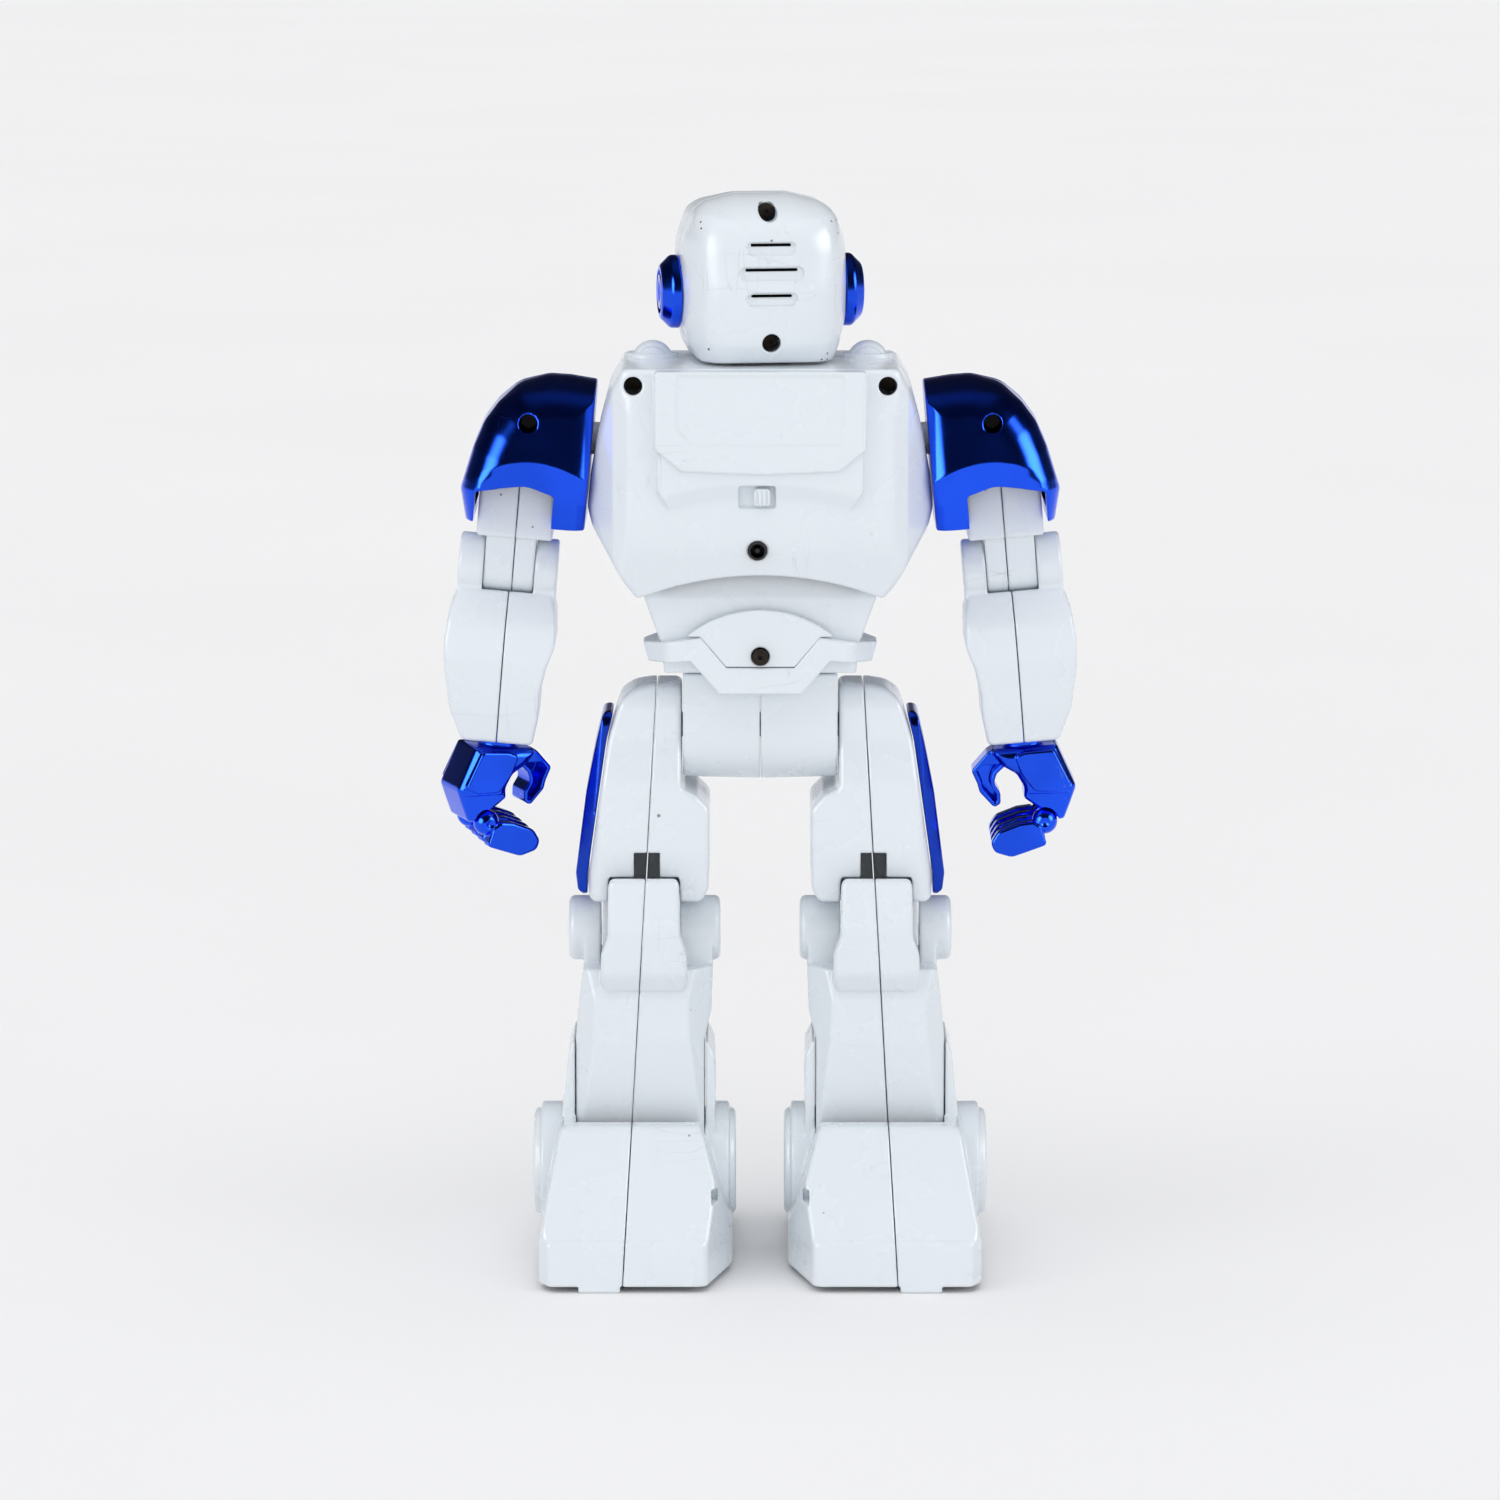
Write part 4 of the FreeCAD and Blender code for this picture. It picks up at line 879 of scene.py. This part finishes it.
def hand_shell():
    palm = meet(2.6, prism("front", PALM), span(Y, -PALM_HALF, PALM_HALF))
    raised = [meet(0.5, prism("front", HAND_PLATE), span(Y, *y)) for y in ((0, HAND_HALF), (-HAND_HALF, 0))]
    carrier = meet(0, slope((0, 0, -12.0), (0.06, 0, 1)), inverse(span(Y, -6.8, 6.8)))
    body = join(0.2, cut(0.3, palm, carrier), *raised)
    thumb = meet(0.5, prism("front", THUMB), span(Y, -4.2, 4.2))
    hollow = meet(0, grow(prism("front", THUMB), -1.0), above(Y, -2.6), below(Z, -4.6))
    body = join(0.3, body, cut(0.2, thumb, hollow))
    body = cut(0.2, body, meet(0, rod(Y, KNUCKLE, 3.5), inverse(span(Y, -2.2, 2.2))))
    cuff = join(0.2, meet(0.2, rod(Z, (0, 0), 5.0), span(Z, -2, 6)),
                meet(0.3, rod(Z, (0, 0), 6.6), span(Z, 3.2, 5.4)))
    body = join(0.2, body, cuff)
    pair("hand_shell", surface(body, (-13.7, -8.6, -20), (12.5, 8.6, 6), 0.3), on_hand, "blue_metallised")


def fingers():
    """Four fingers side by side, each a little higher than the one behind it, on a knuckle pin."""
    outline = prism("front", FINGER)
    parts = []
    for i in range(4):
        middle = HAND_HALF - FINGER_W * (i + 0.5)
        low, high = middle - FINGER_W / 2 - 0.15, middle + FINGER_W / 2 + 0.15
        parts.append(meet(1.0, lifted(outline, 0.5 * i), span(Y, low, high)))
    palm_gap = inverse(span(Y, -2.6, 2.6))
    knuckles = [meet(0, ball((KNUCKLE[0], side * (HAND_HALF - 3.2), KNUCKLE[1]), 3.2), palm_gap)
                for side in (-1, 1)]
    body = join(0.1, *parts, *knuckles)
    body = cut(0.2, body, meet(0, above(X, 0.6), span(Y, -2.5, 2.5), above(Z, -22)))
    body = join(0.1, body, meet(0, rod(Y, KNUCKLE, 1.2), span(Y, -3, 3)))
    dimple = join(0, *[ball((KNUCKLE[0], side * (HAND_HALF + 0.5), KNUCKLE[1]), 1.3) for side in (-1, 1)])
    body = meet(0.2, cut(0.2, body, dimple), span(Y, -HAND_HALF, HAND_HALF))
    pair("fingers", surface(body, (-10.3, -8.6, -28), (7.2, 8.6, -15.8), 0.28), on_hand, "blue_metallised")


# ---------------------------------------------------------------- legs, the left one in place

LEG_SEAM_X, LEG_SPLAY = 33.7, 0.0576
THIGH_TOP_R, KNEE_R, ANKLE_R = 11.6, 8.0, 14.8
THIGH_FRONT = [(19.3, 145.6, 2), (26.7, 145.6, 6), (30.9, 144.3, 6), (34.1, 141.8, 5), (35.3, 138.4, 10),
               (37.4, 131.5, 40), (40.9, 107.1, 40), (42.1, 98.4, 4), (42.1, 91.5, 2), (14.6, 91.5, 2),
               (12.6, 95.5, 4), (12.4, 115.4, 3), (15.5, 118.5, 3), (19.3, 120.4, 2)]
THIGH_SIDE = [(-THIGH_TOP_R, HIP_Z + THIGH_TOP_R, THIGH_TOP_R - 0.1), (-THIGH_TOP_R, HIP_Z - 2, 8),
              (-15, 122, 10), (-16, 105, 20), (-14, 91.5, 2), (14, 91.5, 2), (15.5, 105, 20),
              (15, 122, 10), (THIGH_TOP_R, HIP_Z - 2, 8),
              (THIGH_TOP_R, HIP_Z + THIGH_TOP_R, THIGH_TOP_R - 0.1)]
THIGH_PLAN = [(8, -16, 1), (38.5, -16.5, 1), (50, -2, 1), (50, 2, 1), (38.5, 16.5, 1), (8, 16, 1)]
PANEL_FRONT = [(35.9, 138.6, 1), (38.5, 138.3, 2), (40.3, 131, 20), (42.8, 118.4, 30), (45.4, 98.3, 3),
               (44.9, 94.5, 1), (43.6, 92.9, 0.5), (42.5, 93.2), (42.4, 98.4, 4), (41.2, 107.1, 40),
               (37.7, 131.5, 40)]
PANEL_SIDE = mirrored_outline([(10, 92.9, 3), (11, 110, 30), (9, 138.6, 4)])
SHANK_FRONT = [(11.6, 75.5, 1), (12.0, 64.1, 10), (13.8, 57.2, 1), (13.8, 10.6), (45.5, 10.6),
               (45.5, 57.2, 1), (44.9, 64.1, 10), (43.6, 75.5, 1)]
SHANK_SIDE = [(-15, 75.5, 1), (-17, 68, 6), (-17, 58, 10), (-13, 34, 4), (-13, ANKLE_Z - 13, 12.9),
              (13, ANKLE_Z - 13, 12.9), (13, 34, 4), (16.5, 58, 10), (17, 68, 6), (15, 75.5, 1)]
TONGUE_FRONT = [(20.4, 99.3, 1.5), (36.6, 99.3, 1.5), (37.2, 97, 2), (37.4, 84.5, 4), (39.0, 80, 4),
                (39.2, 73, 3), (38.2, 69.8, 1), (18.8, 69.8, 1), (17.8, 73, 3), (18.0, 80, 4),
                (19.6, 84.5, 4), (19.8, 97, 2)]
TONGUE_SIDE = [(18.2, 99.3, 0.6), (20.2, 98.2, 1), (21.2, 86, 20), (20.2, 75, 6), (17.0, 69.8),
               (14.0, 69.8), (14.4, 84), (15.6, 91)]
FOOT_FRONT = [(14.6, 38.0, 1), (49.0, 38.0, 1), (53.8, 13.1, 1), (54.4, 12.2, 1), (54.4, 1.2, 1),
              (6.6, 1.2, 1), (6.6, 12.2, 1), (7.4, 13.1, 1)]
FOOT_SIDE = [(-14, 38.0, 2), (-20, 31, 8), (-42, 19, 10), (-48, 10, 6), (-48, 1.2, 2), (40.5, 1.2, 1),
             (40.5, 12.2, 0.3), (38.7, 13.2, 0.3), (24.8, 38.0, 5)]
FOOT_TOP = [(12, -44, 6), (20, -48, 8), (44, -48, 8), (51.5, -42, 8), (54.4, -28, 10), (54.4, 36, 2),
            (51.5, 40.5, 2), (13.2, 40.5, 3), (6.6, 17, 6), (6.6, -32, 10)]
WHEEL_Y, WHEEL_R, WHEEL_W = -24.0, 8.0, 5.0
WHEELS_X = (18.5, 43.5)


def leg_seam(gap):
    normal = (1, 0, LEG_SPLAY)
    return slope((LEG_SEAM_X - gap, 0, 0), normal), inverse(slope((LEG_SEAM_X + gap, 0, 0), normal))


def leg_halves(name, body, low, high, step, skin):
    halves((name + "_inner_{}", name + "_outer_{}"), body, X, leg_seam(SEAM), low, high, step,
           skin=skin)


def thigh():
    block = meet(1.3, prism("front", THIGH_FRONT), prism("side", THIGH_SIDE), prism("top", THIGH_PLAN))
    recess = meet(0.3, grow(prism("front", TONGUE_FRONT), 0.15), above(Y, 11.5), below(Z, 98.4))
    body = cut(0.3, block, recess)
    body = cut(0.15, body, solid((24.6, 5, 98.3), (31.0, 30, 104.6), 0.2))
    lug = join(0, meet(0.3, rod(X, (0, KNEE_Z), KNEE_R), span(X, 20.3, 38.8)),
               solid((20.3, -KNEE_R, KNEE_Z), (38.8, KNEE_R, 94)))
    body = join(0.3, body, lug)
    body = cut(0.2, body, meet(0, rod(X, (0, HIP_Z), 3.1), below(X, 26)))
    leg_halves("thigh", body, (12.2, -16.6, 74.5), (42.3, 16.6, 145.8), 0.46, join(0, block, lug))
    panel = meet(0.3, prism("front", PANEL_FRONT), prism("side", PANEL_SIDE),
                 slope((45.4, 8.4, 98.3), (1, 1, 0.156)))
    ribs = meet(0, lambda p: np.abs((p[:, Z] - 99.0) % 6.0 - 3.0) - 0.35, span(Z, 99, 129),
                span(Y, -6.5, 6.5), above(X, 38))
    panel = engrave(panel, ribs, 0.35, 0.1)
    pair("thigh_side_panel", surface(panel, (35.8, -11.1, 92.8), (45.5, 11.1, 138.8), 0.34), on_body,
         "blue_panel")


def shank():
    bevels = [slope((x, 17.0 * side, 60), (out, 0.66 * side, 0))
              for side in (1, -1) for x, out in ((17.9, -0.75), (40.6, 0.75))]
    shin = meet(0.4, prism("front", SHANK_FRONT), prism("side", SHANK_SIDE), *bevels)
    shin = cut(0.3, shin, meet(0, rod(X, (0, KNEE_Z), KNEE_R + 0.6), span(X, 19.8, 39.4)))
    knee = rod(X, (0, KNEE_Z), KNEE_R)
    caps = [meet(0.3, meet(1.6, knee, span(X, 9.8, 22)), below(X, 19.8)),
            meet(0.3, meet(1.6, knee, span(X, 37, 47.3)), above(X, 39.4))]
    webs = [solid((low, -KNEE_R, 73), (high, KNEE_R, KNEE_Z), 0.5) for low, high in ((11.8, 19.8), (39.4, 43.5))]
    tongue = meet(1.2, prism("front", TONGUE_FRONT), prism("side", TONGUE_SIDE))
    body = join(0.3, shin, *caps, *webs, tongue)
    leg_halves("shank", body, (9.6, -17.2, 10.4), (47.4, 21.4, 99.5), 0.46, body)


def foot():
    shoe = meet(0.9, prism("front", FOOT_FRONT), prism("side", FOOT_SIDE), prism("top", FOOT_TOP))
    collars = [meet(0.2, prism("front", outline), span(Y, -12, 12)) for outline in (
        [(45.8, 14), (50.5, 14), (49.0, 38), (48.2, 44), (47.4, 53, 2), (46.2, 56.4, 0.3), (45.8, 56.4)],
        [(13.5, 14), (10.4, 14), (11.2, 38), (11.0, 44), (11.3, 53, 2), (12.9, 56.4, 0.3), (13.5, 56.4)])]
    ankle = (0, ANKLE_Z)
    discs = [join(0.2, disc(ankle, ANKLE_R, *rim, 0.8), disc(ankle, ANKLE_R - 1.6, *cap, 1.4))
             for rim, cap in (((46.5, 54.4), (46.5, 56.2)), ((7.6, 12.5), (6.0, 12.5)))]
    whole = join(0.5, shoe, *collars, *discs)
    ankle_room = join(0, solid((13.78, -18, 11), (45.52, 18, 70), 0.2),
                      solid((13.78, -15, 5), (45.52, 15, 20), 0.2))
    body = cut(0.08, whole, ankle_room)
    body = cut(0.2, body, solid((10.5, 26.5, 20.5), (12.0, 34, 24), 0.2))
    body = cut(0.3, body, meet(0, grow(prism("top", FOOT_TOP), -2.0), below(Z, 3.0)))
    body = join(0.1, body, solid((34.2, 36.0, 0.0), (44.4, 40.2, 3.0), 0.2))
    leg_halves("foot", body, (5.8, -48.2, 0.0), (56.4, 40.7, 56.6), 0.45, whole)

    plate = meet(0.3, grow(prism("top", FOOT_TOP), -2.2), span(Z, 1.2, 3.0))
    groove = meet(0, lambda p: np.abs((p[:, Y] + 42.8) % 5.6 - 2.8) - 0.5, span(X, 15, 46), below(Z, 2))
    plate = engrave(plate, groove, 0.5, 0.1)
    plate = join(0.1, plate, solid((34.8, 32.0, 0), (44.8, 37.5, 2)),
                 solid((18.0, -44.0, 0), (45.0, -39.0, 2)))
    for x in WHEELS_X:
        half = WHEEL_W / 2 + 0.6
        plate = cut(0.2, plate, solid((x - half, WHEEL_Y - 8.4, -1), (x + half, WHEEL_Y + 8.4, 5), 0.3))
    pair("foot_sole", surface(plate, (6.6, -48, 0), (54.4, 40.5, 3.0), 0.5), on_body, "grey_sole")

    def tread(p):
        turn = np.arctan2(p[:, Z] - WHEEL_R, p[:, Y] - WHEEL_Y)
        return np.hypot(p[:, Y] - WHEEL_Y, p[:, Z] - WHEEL_R) - WHEEL_R + 0.2 - 0.2 * np.cos(24 * turn)

    wheels = []
    for x in WHEELS_X:
        wheel = meet(0.3, tread, span(X, x - WHEEL_W / 2, x + WHEEL_W / 2))
        dish = meet(0, rod(X, (WHEEL_Y, WHEEL_R), 5.5), inverse(span(X, x - 1.6, x + 1.6)))
        wheels.append(cut(0.2, wheel, dish))
        wheels.append(disc((WHEEL_Y, WHEEL_R), 3.0, x - WHEEL_W / 2, x + WHEEL_W / 2))
    axle = disc((WHEEL_Y, WHEEL_R), 1.5, 12.5, 49.5)
    mesh = surface(join(0.1, *wheels, axle), (12.4, WHEEL_Y - 8.1, 0), (49.6, WHEEL_Y + 8.1, 16), 0.4)
    pair("foot_wheels", mesh, on_body, "wheel_rubber")


# ---------------------------------------------------------------- CAD pieces that stay

KEPT = {"head_speaker": "black_plastic", "neck_post": "white_shell", "head_screws": "screw_steel",
        "torso_screws": "screw_steel", "power_switch_body": "black_plastic", "charging_jack": "black_plastic",
        "control_board": "circuit_board", "battery_pack": "battery_wrap", "hip_motor": "motor_can",
        "hip_axle": "axle_steel", "foot_drive_left": "black_plastic", "foot_drive_right": "black_plastic"}


def finish_kept():
    """CAD pieces shown as they are get a small bevel and their own finish."""
    for node, material in KEPT.items():
        shown = frame["nodes"][node]
        shown.data.materials.clear()
        shown.data.materials.append(MATERIALS[material])
        bevel = shown.modifiers.new("edge", "BEVEL")
        bevel.width = 0.00015
        bevel.segments = 2
        bevel.limit_method = "ANGLE"
        bevel.angle_limit = radians(40)


# ---------------------------------------------------------------- floor, light and camera

def floor():
    """A wide pale floor."""
    size, data = 12.0, bpy.data.meshes.new("floor")
    corners = [(-size, -size, 0), (size, -size, 0), (size, size, 0), (-size, size, 0)]
    data.from_pydata(corners, [], [(0, 1, 2, 3)])
    f = Finish("floor", Roughness=0.9)
    f.shader.inputs["Specular IOR Level"].default_value = 0.1
    cloud = f.ramp(f.noise(3.0, 2.0), 0.3, 0.7)
    f.set("Base Color", f.mix(cloud, (0.868, 0.868, 0.870), (0.880, 0.880, 0.882)))
    data.materials.append(f.made)
    shown = show("floor", data)


AMBIENT, SOFTBOX_LEVEL = (0.55, 0.55, 0.56), 5.5
SOFTBOXES = ((50, 17), (-66, 24))     # directions seen in shiny surfaces, as azimuth and elevation


def sky():
    """Even pale light for the shells; shiny surfaces see a pale horizon, a dark ceiling and softboxes."""
    world = bpy.data.worlds.new("studio")
    bpy.context.scene.world = world
    graph = Graph(world)
    direction = graph.node("ShaderNodeTexCoord").outputs["Generated"]
    up = graph.node("ShaderNodeSeparateXYZ", {0: direction}).outputs[2]
    gradient = graph.node("ShaderNodeValToRGB", {0: up})
    stops = gradient.color_ramp.elements
    stops[0].color = (0.95, 0.96, 1.0, 1)
    stops[1].color = (0.10, 0.11, 0.13, 1)
    for place, level in ((0.04, 0.70), (0.13, 0.07), (0.50, 0.02), (0.80, 0.03)):
        stops.new(place).color = (level, level, level * 1.04, 1)
    seen = gradient.outputs[0]
    for azimuth, elevation in SOFTBOXES:
        flat = cos(radians(elevation))
        centre = (sin(radians(azimuth)) * flat, cos(radians(azimuth)) * flat, sin(radians(elevation)))
        towards = graph.node("ShaderNodeVectorMath", {0: direction, 1: centre}, operation="DOT_PRODUCT")
        patch = graph.ramp(towards.outputs["Value"], cos(radians(26)), cos(radians(6)), 0.0, SOFTBOX_LEVEL)
        seen = graph.mix(1.0, seen, patch, blend_type="ADD", clamp_result=False)
    glossy = graph.node("ShaderNodeLightPath").outputs["Is Glossy Ray"]
    background = graph.tree.nodes["Background"]
    graph.tree.links.new(graph.mix(glossy, AMBIENT, seen), background.inputs["Color"])


def aim(shown, direction):
    shown.rotation_mode = "QUATERNION"
    shown.rotation_quaternion = Vector(direction).to_track_quat("-Z", "Y")


def sun(name, direction, strength, softness):
    light = bpy.data.lights.new(name, "SUN")
    light.energy, light.angle = strength, radians(softness)
    shown = show(name, light)
    aim(shown, direction)
    shown.visible_glossy = False


def camera():
    """Behind the robot, a little above its middle, with a long lens."""
    target = Vector((0.0025, AXIS_Y / 1000, 0.1275))
    elevation, distance = radians(10), 1.5
    data = bpy.data.cameras.new("photo_angle")
    data.sensor_width, data.lens = 36.0, 145.9
    data.clip_start, data.clip_end = 0.05, 60
    shown = show("photo_angle", data)
    shown.location = target + Vector((0, cos(elevation), sin(elevation))) * distance
    aim(shown, target - shown.location)
    bpy.context.scene.camera = shown


head()
torso()
waist()
pelvis()
shoulder_pads()
upper_arm()
forearm()
hand_shell()
fingers()
thigh()
shank()
foot()
finish_kept()
floor()
sky()
sun("key", (0.1, -0.95, -0.14), 0.60, 40)
sun("overhead", (-0.1, -0.15, -1), 1.24, 80)
for side in (-1, 1):
    sun("side", (side * 0.8, -0.5, -0.2), 0.35, 40)
camera()
bpy.context.scene.view_settings.view_transform = "Standard"
